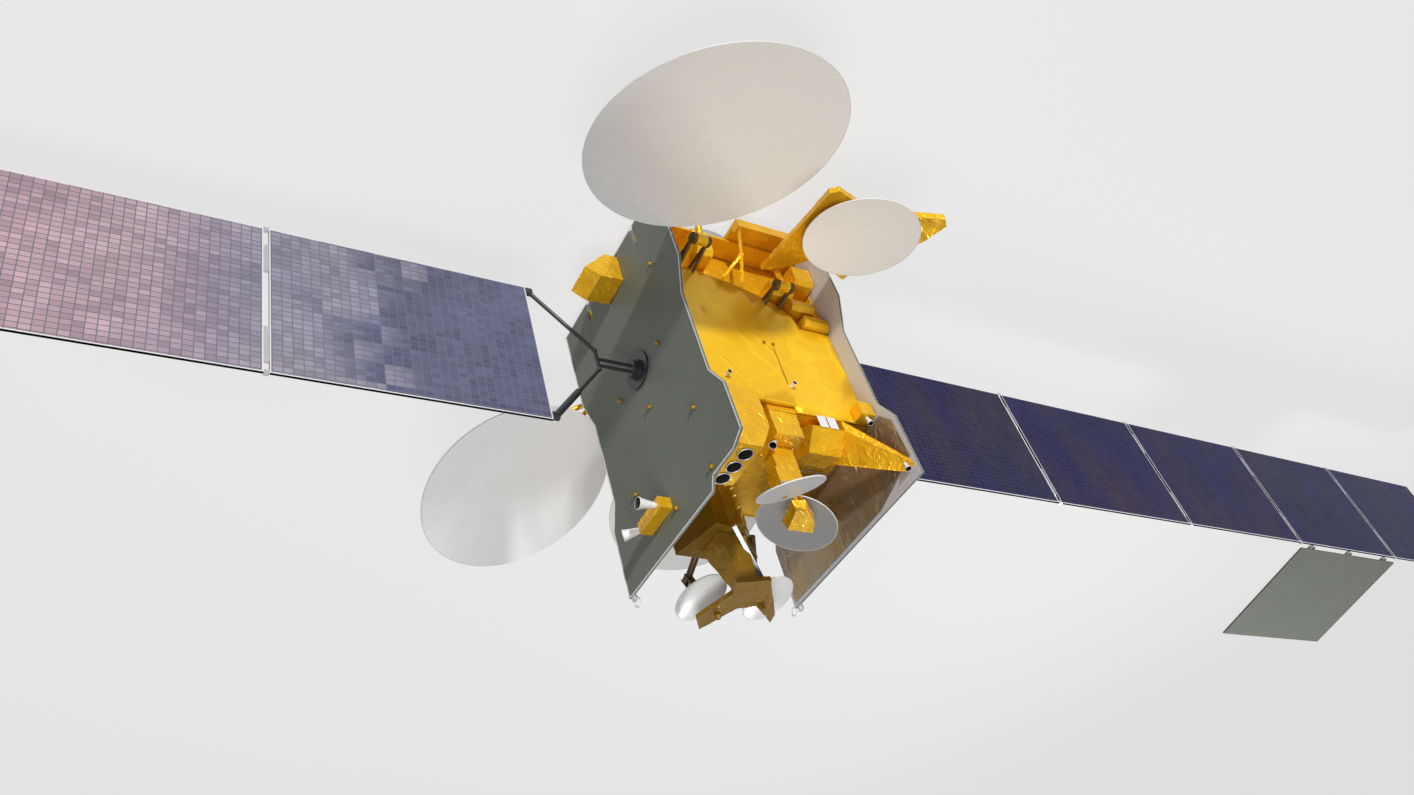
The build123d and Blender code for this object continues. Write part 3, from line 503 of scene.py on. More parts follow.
@dataclass(frozen=True)
class CellFinish(Finish):
    """Solar cells in rows, lying in the Y-Z plane.

    Fields: the two colours of the slow bands over the wing; the bluer colour near the body,
    where less glare is painted, and how far it reaches; a painted pink glare over the far end and
    between which distances it sets in; the colours of the lines between cells and of the panels'
    backs; where the first cell starts, from the centre; half the width of the cells' rows; how
    strongly they shine; how much of a cell's tint comes from itself, its string and its block;
    and the colours that darken and brighten it.
    """

    bands: tuple[Colour, Colour] = ((0.10, 0.08, 0.09), (0.05, 0.09, 0.10))
    # near is the bluer colour by the body, where less glare is painted; far is a painted pink glare
    # over the far panels
    near: Colour = (0.10, 0.11, 0.30)
    near_reach: float = 0.0
    far: Colour = (0.46, 0.31, 0.34)
    painted_glare_start: Pair = (5.2, 8.2)
    line: Colour = (0.35, 0.35, 0.38)
    backing: Colour = (0.030, 0.030, 0.034)
    first_cell: float = 2.6515
    half_width: float = 1.0875
    shine: float = 0.5
    tint_shares: tuple[float, float, float] = (0.45, 0.35, 0.20)
    dimmed: Colour = (0.62, 0.62, 0.66)
    brightened: Colour = (1.4, 1.4, 1.4)

    def grids(self, s: Surface, parts: Any, reach: Any) -> list[Any]:
        """Grids of single cells, of their strings and of larger blocks.

        Args:
            s: the material's graph.
            parts: the coordinates' sockets.
            reach: distance from the centre along the wing.

        Returns:
            The outputs of each grid.
        """
        across = s.maths("SUBTRACT", parts["Z"], above(-self.half_width))
        along = s.maths("SUBTRACT", reach, self.first_cell)
        return [
            s.effect(
                Effect.GRID,
                Across=across,
                Along=along,
                Tile_Width=CELL_WIDTH * high,
                Tile_Length=CELL_LENGTH * wide,
                Joint=joint,
            )
            for wide, high, joint in ((1, 1, 0.010), (3, 4, 0.0), (9, 7, 0.0))
        ]

    def wing_colour(self, s: Surface, reach: Any, strings: Any, blocks: Any) -> Any:
        """Slow change of colour over the wing.

        Args:
            s: the material's graph.
            reach: distance from the centre along the wing.
            strings: random value of each string of cells.
            blocks: random value of each larger block.

        Returns:
            The colour's output socket.
        """
        slanted = s.add("Mapping", Vector=s.place, Rotation=(0.75, 0.0, 0.0), Scale=(1.0, 1.0, 0.3))
        band = s.effect(Effect.MOTTLE, Vector=slanted.outputs[0], Scale=1.1)
        banded = s.mix(s.mottle(0.23)["Value"], *self.bands)
        colour = s.mix(band["Value"], self.colour, banded)
        # Painted glare over the wing: towards the body it gives way to the bluer near colour, and
        # from the second panel out it turns to the painted pink glare.
        if self.near_reach:
            ragged = s.maths("MULTIPLY_ADD", blocks, -0.9, reach)
            ragged = s.maths("MULTIPLY_ADD", strings, 0.5, ragged)
            edge = s.ramp(ragged, self.near_reach, self.near_reach - 0.7)
            colour = s.mix(s.maths("MULTIPLY", edge, 0.85), colour, self.near)
            colour = s.mix(s.ramp(reach, *self.painted_glare_start), colour, self.far)
        return colour

    def shade(self, s: Surface) -> None:
        """Cells with their own tints and fine lines between them, and a dark back.

        Args:
            s: the material's graph.
        """
        parts = s.add("SeparateXYZ", Vector=s.place).outputs
        reach = s.maths("ABSOLUTE", parts["Y"])
        cells, strings, blocks = self.grids(s, parts, reach)
        colour = self.wing_colour(s, reach, strings["Tint"], blocks["Tint"])
        tint = 0.0
        for grid, share in zip((cells, strings, blocks), self.tint_shares):
            tint = s.maths("MULTIPLY_ADD", grid["Tint"], share, tint)
        dim = s.mix(1.0, colour, self.dimmed, "MULTIPLY")
        bright = s.mix(1.0, colour, self.brightened, "MULTIPLY")
        face = s.mix(cells["Line"], s.mix(tint, dim, bright), self.line)
        front = s.maths("GREATER_THAN", parts["X"], 0.0)
        s.set(Specular_IOR_Level=self.shine, Base_Color=s.mix(front, self.backing, face))
        s.set_roughness(cells["Line"], 0.3, self.roughness)
        s.bump(s.maths("SUBTRACT", 1.0, cells["Line"]), 0.4, 0.001)


WALL_FILM = FoilFinish(
    "wall_film", "gold_foil", (0.93, 0.56, 0.012), 0.36, 0.3, (0.80, 0.40, 0.006), 0.5, 1.6
)
GOLD = FoilFinish("gold_film", "gold_foil", (0.90, 0.50, 0.012), 0.32, 0.4)
# Gold film drawn darker as painted shade: the deck tower and the star feed lie in shade; the wall
# seam and the stud boots use it too.
SHADED_GOLD = FoilFinish(
    "ochre_film", "gold_foil", (0.27, 0.15, 0.010), 0.32, 0.4, (0.18, 0.09, 0.007), 0.5, 3.0
)
# Gold film on the radiators' inner faces, drawn brown-grey as painted shade, with golden patches as
# painted reflections.
SHADED_LINING = FoilFinish(
    "bronze_film", "gold_foil", (0.29, 0.25, 0.20), 0.24, 0.5, (0.38, 0.23, 0.06), 0.6, 2.4
)
TILES = TileFinish("mirror_tiles", "mirror_tiles", (0.115, 0.127, 0.105), 0.38)
LATERAL_TILES = replace(TILES, name="lateral_tiles", axes=("Y", "X"))
SKIN = Finish("panel_skin", "mirror_tiles", (0.52, 0.52, 0.55), 0.45)
SHELL = Finish("reflector_shell", "reflector_shell", (0.88, 0.88, 0.88), 0.30, mottling=0.07)
# Darker copies of the white reflector shell: the subreflector and the Gregorian main dish are drawn
# grey as painted shade.
SHADED_SUBREFLECTOR_SHELL = Finish("pale_shell", "reflector_shell", (0.48, 0.48, 0.49), 0.36, mottling=0.2)
SHADED_GREGORIAN_SHELL = Finish("grey_shell", "reflector_shell", (0.35, 0.35, 0.355), 0.40, mottling=0.2)
CARBON = Finish("carbon_fibre", "carbon_fibre", (0.02, 0.02, 0.022), 0.4)
# Hinge brackets: gold wrap in shade, drawn dark brown as painted shade; the masts use the same dark
# brown.
SHADED_WRAP = Finish("brown_wrap", "carbon_fibre", (0.11, 0.065, 0.022), 0.38, 0.3)
METAL = Finish("bare_metal", "bare_metal", (0.62, 0.62, 0.64), 0.32, 1.0)
BELL = Finish("heat_darkened", "nozzle_metal", (0.16, 0.14, 0.13), 0.35, 1.0)
WHITE = Finish("white_paint", "white_paint", (0.78, 0.78, 0.76), 0.45)
# The north wing's pale silver-lilac colour and pale bands are a painted reflection of glare on its
# cells; by the body it gives way to the bluer near colour, and the far panels take the default
# painted pink glare.
CELLS_NORTH = CellFinish(
    "cells_north",
    "solar_cells",
    (0.26, 0.245, 0.28),
    0.26,
    0.1,
    bands=((0.30, 0.265, 0.29), (0.20, 0.20, 0.28)),
    near=(0.060, 0.068, 0.150),
    near_reach=4.6,
    line=(0.15, 0.15, 0.19),
    shine=0.3,
)
CELLS_SOUTH = CellFinish(
    "cells_south",
    "solar_cells",
    (0.014, 0.013, 0.060),
    0.34,
    bands=((0.046, 0.026, 0.036), (0.014, 0.022, 0.036)),
    line=(0.06, 0.055, 0.15),
    shine=0.05,
)
RAIL = Finish("edge_rail", "bare_metal", (0.74, 0.74, 0.76), 0.4, 0.1)
TAPE = Finish("harness_tape", "carbon_fibre", (0.10, 0.085, 0.06), 0.5)
# Near-black cones in the feed, horn and thruster mouths: painted shade in those holes.
MOUTH_SHADE = Finish("dark_throat", "carbon_fibre", (0.012, 0.012, 0.013), 0.55)


def finish_of(node: str) -> Finish:
    """The finish of a construction node, from its name and slot.

    Args:
        node: the node's name.

    Returns:
        Its finish.
    """
    by_name = {
        # drawn darker than the other dishes as painted shade
        "gregorian_main": SHADED_GREGORIAN_SHELL,
        "subreflector": SHADED_SUBREFLECTOR_SHELL,
        "lateral_panel": LATERAL_TILES,
    }
    if node in by_name:
        return by_name[node]
    slot = next(s["material_slot"] for s in frame["record"]["subparts"] if s["node"] == node)
    if slot == "solar_cells":
        return CELLS_NORTH if node.startswith("north") else CELLS_SOUTH
    # hinge brackets: gold wrap drawn dark brown as painted shade; the masts share it
    if node.endswith("_mast") or node.startswith("hinge_bracket"):
        return SHADED_WRAP
    by_slot = {f.slot: f for f in (TILES, SHELL, CARBON, METAL, BELL, WHITE)}
    return by_slot.get(slot, GOLD)


def paint(piece: bpy.types.Object, finish: Finish) -> None:
    """Gives a whole piece one finish.

    Args:
        piece: the object.
        finish: its new look.
    """
    piece.data.materials.clear()
    piece.data.materials.append(finish.material())


# ----------------------------------------------------------------------------- drafts of pieces


class Draft:
    """A piece of the object under construction, in the construction model's frame."""

    def __init__(self) -> None:
        """Starts without any face."""
        self.shape = bmesh.new()

    def loop(self, points: Iterable[Point]) -> list[bmesh.types.BMVert]:
        """Adds a corner at each point and returns the corners."""
        return [self.shape.verts.new(point) for point in points]

    def band(self, first: Sequence[Any], second: Sequence[Any]) -> None:
        """Joins two closed loops of corners by a band of faces.

        Args:
            first: corners of one loop.
            second: the corners that face them in the other one.
        """
        for here in range(len(first)):
            after = (here + 1) % len(first)
            self.shape.faces.new((first[here], second[here], second[after], first[after]))

    def wheel(self, loops: Sequence[Sequence[Any]]) -> None:
        """Joins each loop to the next, and the last one to the first."""
        for first, second in zip(loops, [*loops[1:], loops[0]]):
            self.band(first, second)

    def slab(self, outline: Sequence[Point], thickness: Point) -> None:
        """Adds a flat plate.

        Args:
            outline: the corners of its first face.
            thickness: the way from that face to the other one.
        """
        first = self.loop(outline)
        second = self.loop(Vector(point) + Vector(thickness) for point in outline)
        self.shape.faces.new(first)
        self.shape.faces.new(reversed(second))
        self.band(first, second)

    def box(self, low: Point, high: Point) -> None:
        """Adds a box.

        Args:
            low: the corner with the least coordinates.
            high: the corner with the greatest ones.
        """
        corners = [(low[0], low[1]), (high[0], low[1]), (high[0], high[1]), (low[0], high[1])]
        self.slab([(x, y, low[2]) for x, y in corners], (0.0, 0.0, high[2] - low[2]))

    def ring(self, place: Matrix, section: Sequence[Pair], steps: int) -> None:
        """Adds a closed profile turned about an axis.

        Args:
            place: the placement, whose Z is the axis.
            section: the profile's corners as radius and height.
            steps: facets round the axis.
        """
        self.wheel(
            [
                self.loop(place @ Vector((r * cosine, r * sine, h)) for r, h in section)
                for cosine, sine in around(steps)
            ]
        )

    def hoop(self, route: Sequence[Vector], radius: float, sides: int) -> None:
        """Adds a round wire that closes on itself.

        Args:
            route: points along its centre line.
            radius: the wire's radius.
            sides: facets round it.
        """
        befores, afters = [route[-1], *route[:-1]], [*route[1:], route[0]]
        ways = [(after - before).normalized() for before, after in zip(befores, afters)]
        side_way = ways[0].orthogonal().normalized()
        rings = []
        for point, ahead in zip(route, ways):
            side_way = (side_way - ahead * side_way.dot(ahead)).normalized()
            over = ahead.cross(side_way)
            rings.append(
                self.loop(
                    point + side_way * (radius * cosine) + over * (radius * sine)
                    for cosine, sine in around(sides)
                )
            )
        self.wheel(rings)

    def release(
        self,
        name: str,
        finish: Finish,
        body: str = "bus",
        smooth: bool = False,
        rounding: float = 0.0,
    ) -> bpy.types.Object:
        """Puts the draft in the scene as a piece of the object.

        Args:
            name: the piece's name.
            finish: the look of its whole surface.
            body: the body that it moves with.
            smooth: whether its faces are shaded smooth.
            rounding: width of the bevel on its sharp edges.

        Returns:
            The new object.
        """
        bmesh.ops.recalc_face_normals(self.shape, faces=self.shape.faces)
        for face in self.shape.faces:
            face.smooth = smooth
        mesh = bpy.data.meshes.new(name)
        self.shape.to_mesh(mesh)
        self.shape.free()
        piece = linked(name, mesh)
        mesh.materials.append(finish.material())
        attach(piece, body)
        if rounding:
            bevel = piece.modifiers.new("edges", "BEVEL")
            bevel.width = rounding
            bevel.segments = 2
            bevel.limit_method = "ANGLE"
            bevel.angle_limit = math.radians(40.0)
        log.info("built %s: %d faces", name, len(mesh.polygons))
        return piece


def placement(middle: Point, facing: Point, first_way: Point = (1.0, 0.0, 0.0)) -> Matrix:
    """Frame at a point whose Z is a given way.

    Args:
        middle: the origin.
        facing: the Z direction.
        first_way: rough direction of X.

    Returns:
        The placement.
    """
    up_way = Vector(facing).normalized()
    along = (Vector(first_way) - up_way * Vector(first_way).dot(up_way)).normalized()
    turn = Matrix((along, up_way.cross(along), up_way)).transposed()
    return Matrix.Translation(middle) @ turn.to_4x4()


# ----------------------------------------------------------------------------- film blankets


def body_of(node: str) -> str:
    """Name of the body that a construction node belongs to."""
    return next(body for body, members in BODIES.items() if node in members)


@dataclass(frozen=True)
class Crumple:
    """How a blanket of film is creased.

    Fields: distance between creases, their depth, height of the slow billows under them, the
    number of crease directions, the seed, whether the facets run softly into each other, how
    unevenly the creases are spaced, and how many billows there are to a metre.
    """

    spacing: float = 0.09
    depth: float = 0.008
    billow: float = 0.006
    families: int = 4
    seed: int = 1
    soft: bool = False
    unevenness: float = 0.45
    billow_rate: float = 2.3

    def cut(self, shape: bmesh.types.BMesh, chance: random.Random) -> None:
        """Cuts families of parallel creases over every face.

        Args:
            shape: the blanket.
            chance: the source of their directions and distances.
        """
        places = [vert.co for vert in shape.verts]
        low = Vector(min(place[i] for place in places) for i in range(3))
        high = Vector(max(place[i] for place in places) for i in range(3))
        middle, reach = (low + high) / 2, (high - low).length / 2
        for _ in range(self.families):
            way = Vector(chance.gauss(0.0, 1.0) for _ in range(3)).normalized()
            offset = -reach
            while offset < reach:
                stretch = chance.uniform(1.0 - self.unevenness, 1.0 + self.unevenness)
                offset += self.spacing * stretch
                everything = shape.verts[:] + shape.edges[:] + shape.faces[:]
                bmesh.ops.bisect_plane(
                    shape, geom=everything, plane_co=middle + way * offset, plane_no=way
                )

    def crease(self, shape: bmesh.types.BMesh) -> None:
        """Cuts creases over every face and presses the corners between them inward.

        Args:
            shape: the blanket.
        """
        chance = random.Random(self.seed)
        bmesh.ops.remove_doubles(shape, verts=shape.verts, dist=1e-5)
        flat = math.radians(1.0)
        bmesh.ops.dissolve_limit(shape, angle_limit=flat, verts=shape.verts, edges=shape.edges)
        self.cut(shape, chance)
        bmesh.ops.triangulate(shape, faces=shape.faces)
        shape.normal_update()
        shift = Vector((self.seed, 0.0, 0.0))
        for vert in shape.verts:
            slow = 0.5 + 0.5 * noise.noise(vert.co * self.billow_rate + shift)
            press = self.depth * chance.random() + self.billow * slow
            vert.co -= vert.normal * press

    def wrap(self, node: str, finish: Finish) -> bpy.types.Object:
        """Replaces a construction node with its crumpled copy.

        Args:
            node: the node's name.
            finish: the film.

        Returns:
            The blanket.
        """
        draft = Draft()
        draft.shape.from_mesh(NODES[node].data)
        self.crease(draft.shape)
        blanket = draft.release(f"{node}_blanket", finish, body_of(node), self.soft)
        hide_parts(node)
        return blanket


@dataclass
class BodyBlankets:
    """Film over the body's walls, Earth deck, boxes and arms.

    Fields: how each group of pieces is creased; the lining's depth and outline, in X and height
    above the array axis; the +X wall's face; the seam's sides, ends and height; the vents' places,
    ends, half widths at either end and height.
    """

    walls: Crumple = Crumple(0.26, 0.003, 0.012, 4, 3, True)
    bulk: Crumple = Crumple(0.24, 0.009, 0.008, 4, 5)
    boxes: Crumple = Crumple(0.13, 0.008, 0.004, 4, 7)
    small: Crumple = Crumple(0.09, 0.005, 0.002, 4, 9)
    linings: Crumple = Crumple(0.19, 0.012, 0.004, 5, 11)
    lining_depth: float = 0.014
    lining_outline: Sequence[Pair] = (
        (1.20, 1.33), (1.34, 1.52), (1.37, 2.12), (0.62, 2.36), (-1.36, 2.36), (-1.36, 1.52),
        (-1.20, 1.33),
    )
    wall_face: float = 0.996
    seam_sides: Pair = (-0.134, -0.126)
    seam_ends: Pair = (0.23, 0.85)
    seam_height: float = 0.006
    vent_places: Pair = (0.0, -0.14)
    vent_ends: Pair = (0.15, 0.19)
    vent_half_widths: Pair = (0.02, 0.005)
    vent_height: float = 0.022

    def build(self) -> None:
        """Wraps every film-covered construction node and lines the radiators' inner faces."""
        # The deck tower and the star feed get the gold film drawn darker as painted shade.
        for crumple, finish, nodes in (
            (self.walls, WALL_FILM, ("wall_plus_x", "wall_minus_x")),
            (self.bulk, GOLD, ("central_body", "floor_panel")),
            (self.boxes, SHADED_GOLD, ("deck_tower",)),
            (self.boxes, GOLD, ("antenna_tower", "feed_block", "corner_blanket")),
            (self.boxes, GOLD, ("thruster_module_north", "thruster_module_south")),
            (self.boxes, GOLD, ("arm_small_plus_x",)),
            (self.boxes, SHADED_GOLD, ("star_feed",)),
            (self.small, GOLD, ("repeater_box", "bay_fittings", "horn_bracket")),
            (self.small, GOLD, ("wall_box", "floor_beam")),
        ):
            for node in nodes:
                crumple.wrap(node, finish)
        for side, name in ((1, "lining_north"), (-1, "lining_south")):
            self.line_radiator(side, name)
        self.seam()

    def line_radiator(self, side: int, name: str) -> bpy.types.Object:
        """Film on a radiator's inner face above the Earth deck.

        Args:
            side: 1 for north and -1 for south.
            name: the piece's name.

        Returns:
            The lining.
        """
        draft = Draft()
        corners = [(x, side * RADIATOR_INNER_FACE, above(z)) for x, z in self.lining_outline]
        draft.slab(corners, (0.0, -side * self.lining_depth, 0.0))
        replace(self.linings, seed=self.linings.seed + side).crease(draft.shape)
        # brown-grey film as painted shade, with golden patches as painted reflections
        return draft.release(name, SHADED_LINING)

    def seam(self) -> bpy.types.Object:
        """Taped seam down the +X wall with two small vents beside its floor end.

        Returns:
            The piece.
        """
        draft = Draft()
        face, (near, far) = self.wall_face, self.seam_sides
        low, high = (above(end) for end in self.seam_ends)
        draft.box((face, near, low), (face + self.seam_height, far, high))
        low, high = (above(end) for end in self.vent_ends)
        wide, slim = self.vent_half_widths
        for y in self.vent_places:
            foot = [(face, y - wide, low), (face, y + wide, low)]
            top = [(face, y + slim, high), (face, y - slim, high)]
            draft.slab(foot + top, (self.vent_height, 0.0, 0.0))
        return draft.release("wall_seam", SHADED_GOLD)


# ----------------------------------------------------------------------------- radiators


NORTH_RADIATOR_OUTLINE = (
    (1.42, -2.0), (1.42, -0.65), (1.24, -0.14), (1.24, 1.16), (1.41, 1.50), (1.42, 2.20),
    (1.20, 2.31), (0.75, 2.31), (0.65, 2.47), (-1.42, 2.47), (-1.41, 1.50), (-1.24, 1.16),
    (-1.24, -0.14), (-1.42, -0.65), (-1.42, -2.0),
)
SOUTH_RADIATOR_OUTLINE = (
    NORTH_RADIATOR_OUTLINE[:5] + ((1.42, 2.41), (-1.42, 2.41)) + NORTH_RADIATOR_OUTLINE[10:]
)


@dataclass
class Radiator:
    """White edge strips as painted highlight of the panel's edges, inner skin and film boots round
    the wing's hold-down studs.

    Fields: its name, which side it is on, the outline's corners in X and height above the array
    axis, the outer face's distance from the centre, the strips' width and thickness, the skin's
    thickness, and the studs' radius, height and places.
    """

    name: str
    side: int
    outline: Sequence[Pair]
    face: float = 1.253
    strip_width: float = 0.016
    strip_thickness: float = 0.003
    skin_thickness: float = 0.0015
    stud_radius: float = 0.024
    stud_height: float = 0.045
    stud_places: Sequence[Pair] = (
        (0.87, -1.07), (0.52, 0.03), (-0.54, 0.04), (0.01, 0.64), (0.79, 1.35), (-0.74, 1.42),
        (0.78, 2.22), (-0.04, 2.16),
    )

    def strips(self) -> bpy.types.Object:
        """White strip along every edge of the outer face: painted highlight of the sunlit edge.

        Returns:
            The piece.
        """
        draft = Draft()
        middle = Vector((0.0, above(0.2)))
        corners = [Vector((x, above(z))) for x, z in self.outline]
        for first, second in zip(corners, corners[1:] + corners[:1]):
            along = (second - first).normalized()
            inward = Vector((-along.y, along.x))
            if inward.dot(middle - first) < 0:
                inward = -inward
            step = inward * self.strip_width
            band = (first, second, second + step, first + step)
            outline = [(point.x, self.side * self.face, point.y) for point in band]
            draft.slab(outline, (0.0, self.side * self.strip_thickness, 0.0))
        return draft.release(f"{self.name}_edge_strips", WHITE)

    def inner_skin(self) -> bpy.types.Object:
        """Pale skin of the panel's inner face.

        Returns:
            The piece.
        """
        draft = Draft()
        corners = [(x, self.side * RADIATOR_INNER_FACE, above(z)) for x, z in self.outline]
        draft.slab(corners, (0.0, -self.side * self.skin_thickness, 0.0))
        return draft.release(f"{self.name}_inner_skin", SKIN)

    def studs(self) -> bpy.types.Object:
        """Film boot round each hold-down stud.

        Returns:
            The piece.
        """
        draft = Draft()
        radius, height = self.stud_radius, self.stud_height
        section = (
            (radius, 0.0),
            (radius * 1.5, 0.0),
            (radius * 1.4, 0.008),
            (radius * 1.15, 0.020),
            (radius * 1.08, height + 0.002),
            (radius * 0.4, height + 0.003),
            (radius * 0.4, height),
            (radius, height),
        )
        for x, z in self.stud_places:
            place = placement((x, self.side * self.face, above(z)), (0.0, self.side, 0.0))
            draft.ring(place, section, 20)
        return draft.release(f"{self.name}_stud_boots", SHADED_GOLD, smooth=True)

    def build(self) -> None:
        """Makes the strips, the inner skin and the boots."""
        self.strips()
        self.inner_skin()
        self.studs()


# ----------------------------------------------------------------------------- solar wings


@dataclass
class SolarWing:
    """Cells, frame edges, back tapes and knuckles of one wing.

    Fields: the wing's name, side and cells; the panels' count, first place, pitch, length and
    width; their face; the cells' columns and rows, the gap between them, their cropped corners
    and thickness; the rails' half depth and width; the tapes' inset and the heights of the long
    ones above the array axis.
    """

    name: str
    side: int
    cells: CellFinish
    panel_count: int = 5
    root: float = 2.629
    pitch: float = 3.15
    panel_length: float = 3.09
    panel_width: float = 2.245
    face: float = 0.015
    columns: int = 29
    rows: int = 29
    gap: float = 0.004
    crop: float = 0.012
    lift: float = 0.0018
    rail_depth: float = 0.0165
    rail_width: float = 0.014
    tape_inset: float = 0.08
    tape_heights: Sequence[float] = (-0.96, -0.30, 0.30, 0.96)

    @property
    def body(self) -> str:
        """Name of the wing's body."""
        return f"{self.name}_wing"

    def near_end(self, number: int) -> float:
        """Distance from the centre of a panel's near end."""
        return self.root + number * self.pitch

    def cell_sheet(self, number: int) -> bpy.types.Object:
        """The cells of one panel, each a thin plate with two cropped corners.

        Args:
            number: the panel, counted from the body.

        Returns:
            The piece.
        """
        draft = Draft()
        start = self.near_end(number) + (self.panel_length - self.columns * CELL_LENGTH) / 2
        foot = above(-self.rows * CELL_WIDTH / 2)
        half_gap = self.gap / 2
        for column in range(self.columns):
            near = start + column * CELL_LENGTH + half_gap
            far = near + CELL_LENGTH - self.gap
            for row in range(self.rows):
                low = foot + row * CELL_WIDTH + half_gap
                high = low + CELL_WIDTH - self.gap
                outline = (
                    (near, low),
                    (far, low),
                    (far, high - self.crop),
                    (far - self.crop, high),
                    (near + self.crop, high),
                    (near, high - self.crop),
                )
                top, base = (
                    draft.loop((x, self.side * y, z) for y, z in outline)
                    for x in (self.face + self.lift, self.face)
                )
                draft.shape.faces.new(top if self.side > 0 else reversed(top))
                draft.band(top, base)
        return draft.release(f"{self.name}_cells_{number + 1}", self.cells, self.body)

    def strip(self, draft: Draft, depths: Pair, near: Pair, far: Pair) -> None:
        """Adds a box that lies on the wing.

        Args:
            draft: the piece.
            depths: where it begins and ends in X.
            near: its least distance from the centre and least height above the array axis.
            far: its greatest ones.
        """
        ends = sorted((self.side * near[0], self.side * far[0]))
        low = (depths[0], ends[0], above(near[1]))
        draft.box(low, (depths[1], ends[1], above(far[1])))

    def edge_rails(self) -> bpy.types.Object:
        """Slim edge member round every panel.

        Returns:
            The piece.
        """
        draft = Draft()
        half, width = self.panel_width / 2, self.rail_width
        depths = (-self.rail_depth, self.rail_depth)
        for number in range(self.panel_count):
            near = self.near_end(number)
            far = near + self.panel_length
            for low, high in (
                ((near, -half), (far, width - half)),
                ((near, half - width), (far, half)),
                ((near, width - half), (near + width, half - width)),
                ((far - width, width - half), (far, half - width)),
            ):
                self.strip(draft, depths, low, high)
        return draft.release(f"{self.name}_edge_rails", RAIL, self.body)

    def back_ribs(self) -> bpy.types.Object:
        """Flat harness tapes and stiffeners on the panels' backs.

        Returns:
            The piece.
        """
        draft = Draft()
        back = -self.face
        tape_half, rib_half, rib_reach = 0.03, 0.02, 1.05
        for number in range(self.panel_count):
            near = self.near_end(number) + self.tape_inset
            far = near + self.panel_length - 2 * self.tape_inset
            for height in self.tape_heights:
                low, high = height - tape_half, height + tape_half
                self.strip(draft, (back - 0.006, back), (near, low), (far, high))
            for place in (near + 0.5, (near + far) / 2, far - 0.5):
                low, high = (place - rib_half, -rib_reach), (place + rib_half, rib_reach)
                self.strip(draft, (back - 0.004, back), low, high)
        return draft.release(f"{self.name}_back_tapes", TAPE, self.body)

    def knuckles(self) -> bpy.types.Object:
        """Caps of the fold lines' ends and the yoke's end fittings, which don't show.

        The placement's first direction is its axis, so each cap has no width and its faces have
        no area.

        Returns:
            The piece.
        """
        draft = Draft()
        axis, bevel = (1.0, 0.0, 0.0), 0.006
        half = self.panel_width / 2
        caps = [
            (self.near_end(number) - 0.03, half - 0.006, 0.026, 0.030, 0.024)
            for number in range(1, self.panel_count)
        ]
        caps.append((self.root - 0.05, half - 0.07, 0.030, 0.036, 0.036))
        for along, height, mouth, radius, reach in caps:
            section = (
                (0.0, -reach),
                (mouth, -reach),
                (radius, bevel - reach),
                (radius, reach - bevel),
                (mouth, reach),
                (0.0, reach),
            )
            for end in (-1, 1):
                middle = (0.0, self.side * along, above(end * height))
                draft.ring(placement(middle, axis), section, 16)
        return draft.release(f"{self.name}_knuckles", WHITE, self.body)

    def build(self) -> None:
        """Makes every piece of the wing."""
        for number in range(self.panel_count):
            self.cell_sheet(number)
        self.edge_rails()
        self.back_ribs()
        self.knuckles()


# ----------------------------------------------------------------------------- dishes


@dataclass
class Dish:
    """Bead round a dish's rim, and what every dish shares.

    Fields: its name, the body that it moves with, the rim's diameter, the bowl's depth, the
    rim's centre with its height above the array axis, the way that the bowl faces, the bead's
    radius and its facets round the rim.
    """

    name: str
    body: str
    diameter: float
    depth: float
    centre: Point
    front: Point
    bead_radius: float = 0.005
    bead_steps: int = 96

    @property
    def place(self) -> Matrix:
        """Placement whose origin is the rim's centre and whose Z is the way the bowl faces."""
        x, y, z = self.centre
        return placement((x, y, above(z)), self.front)

    def rim(self) -> bpy.types.Object:
        """Bead round the rim, a little deeper than wide.

        Returns:
            The piece.
        """
        draft = Draft()
        middle, bead, stretch = self.diameter / 2 - 0.002, self.bead_radius, 1.6
        section = [
            (middle + bead * cosine, -DISH_SKIN / 2 + stretch * bead * sine)
            for cosine, sine in around(8)
        ]
        draft.ring(self.place, section, self.bead_steps)
        return draft.release(f"{self.name}_rim_bead", WHITE, self.body, smooth=True)


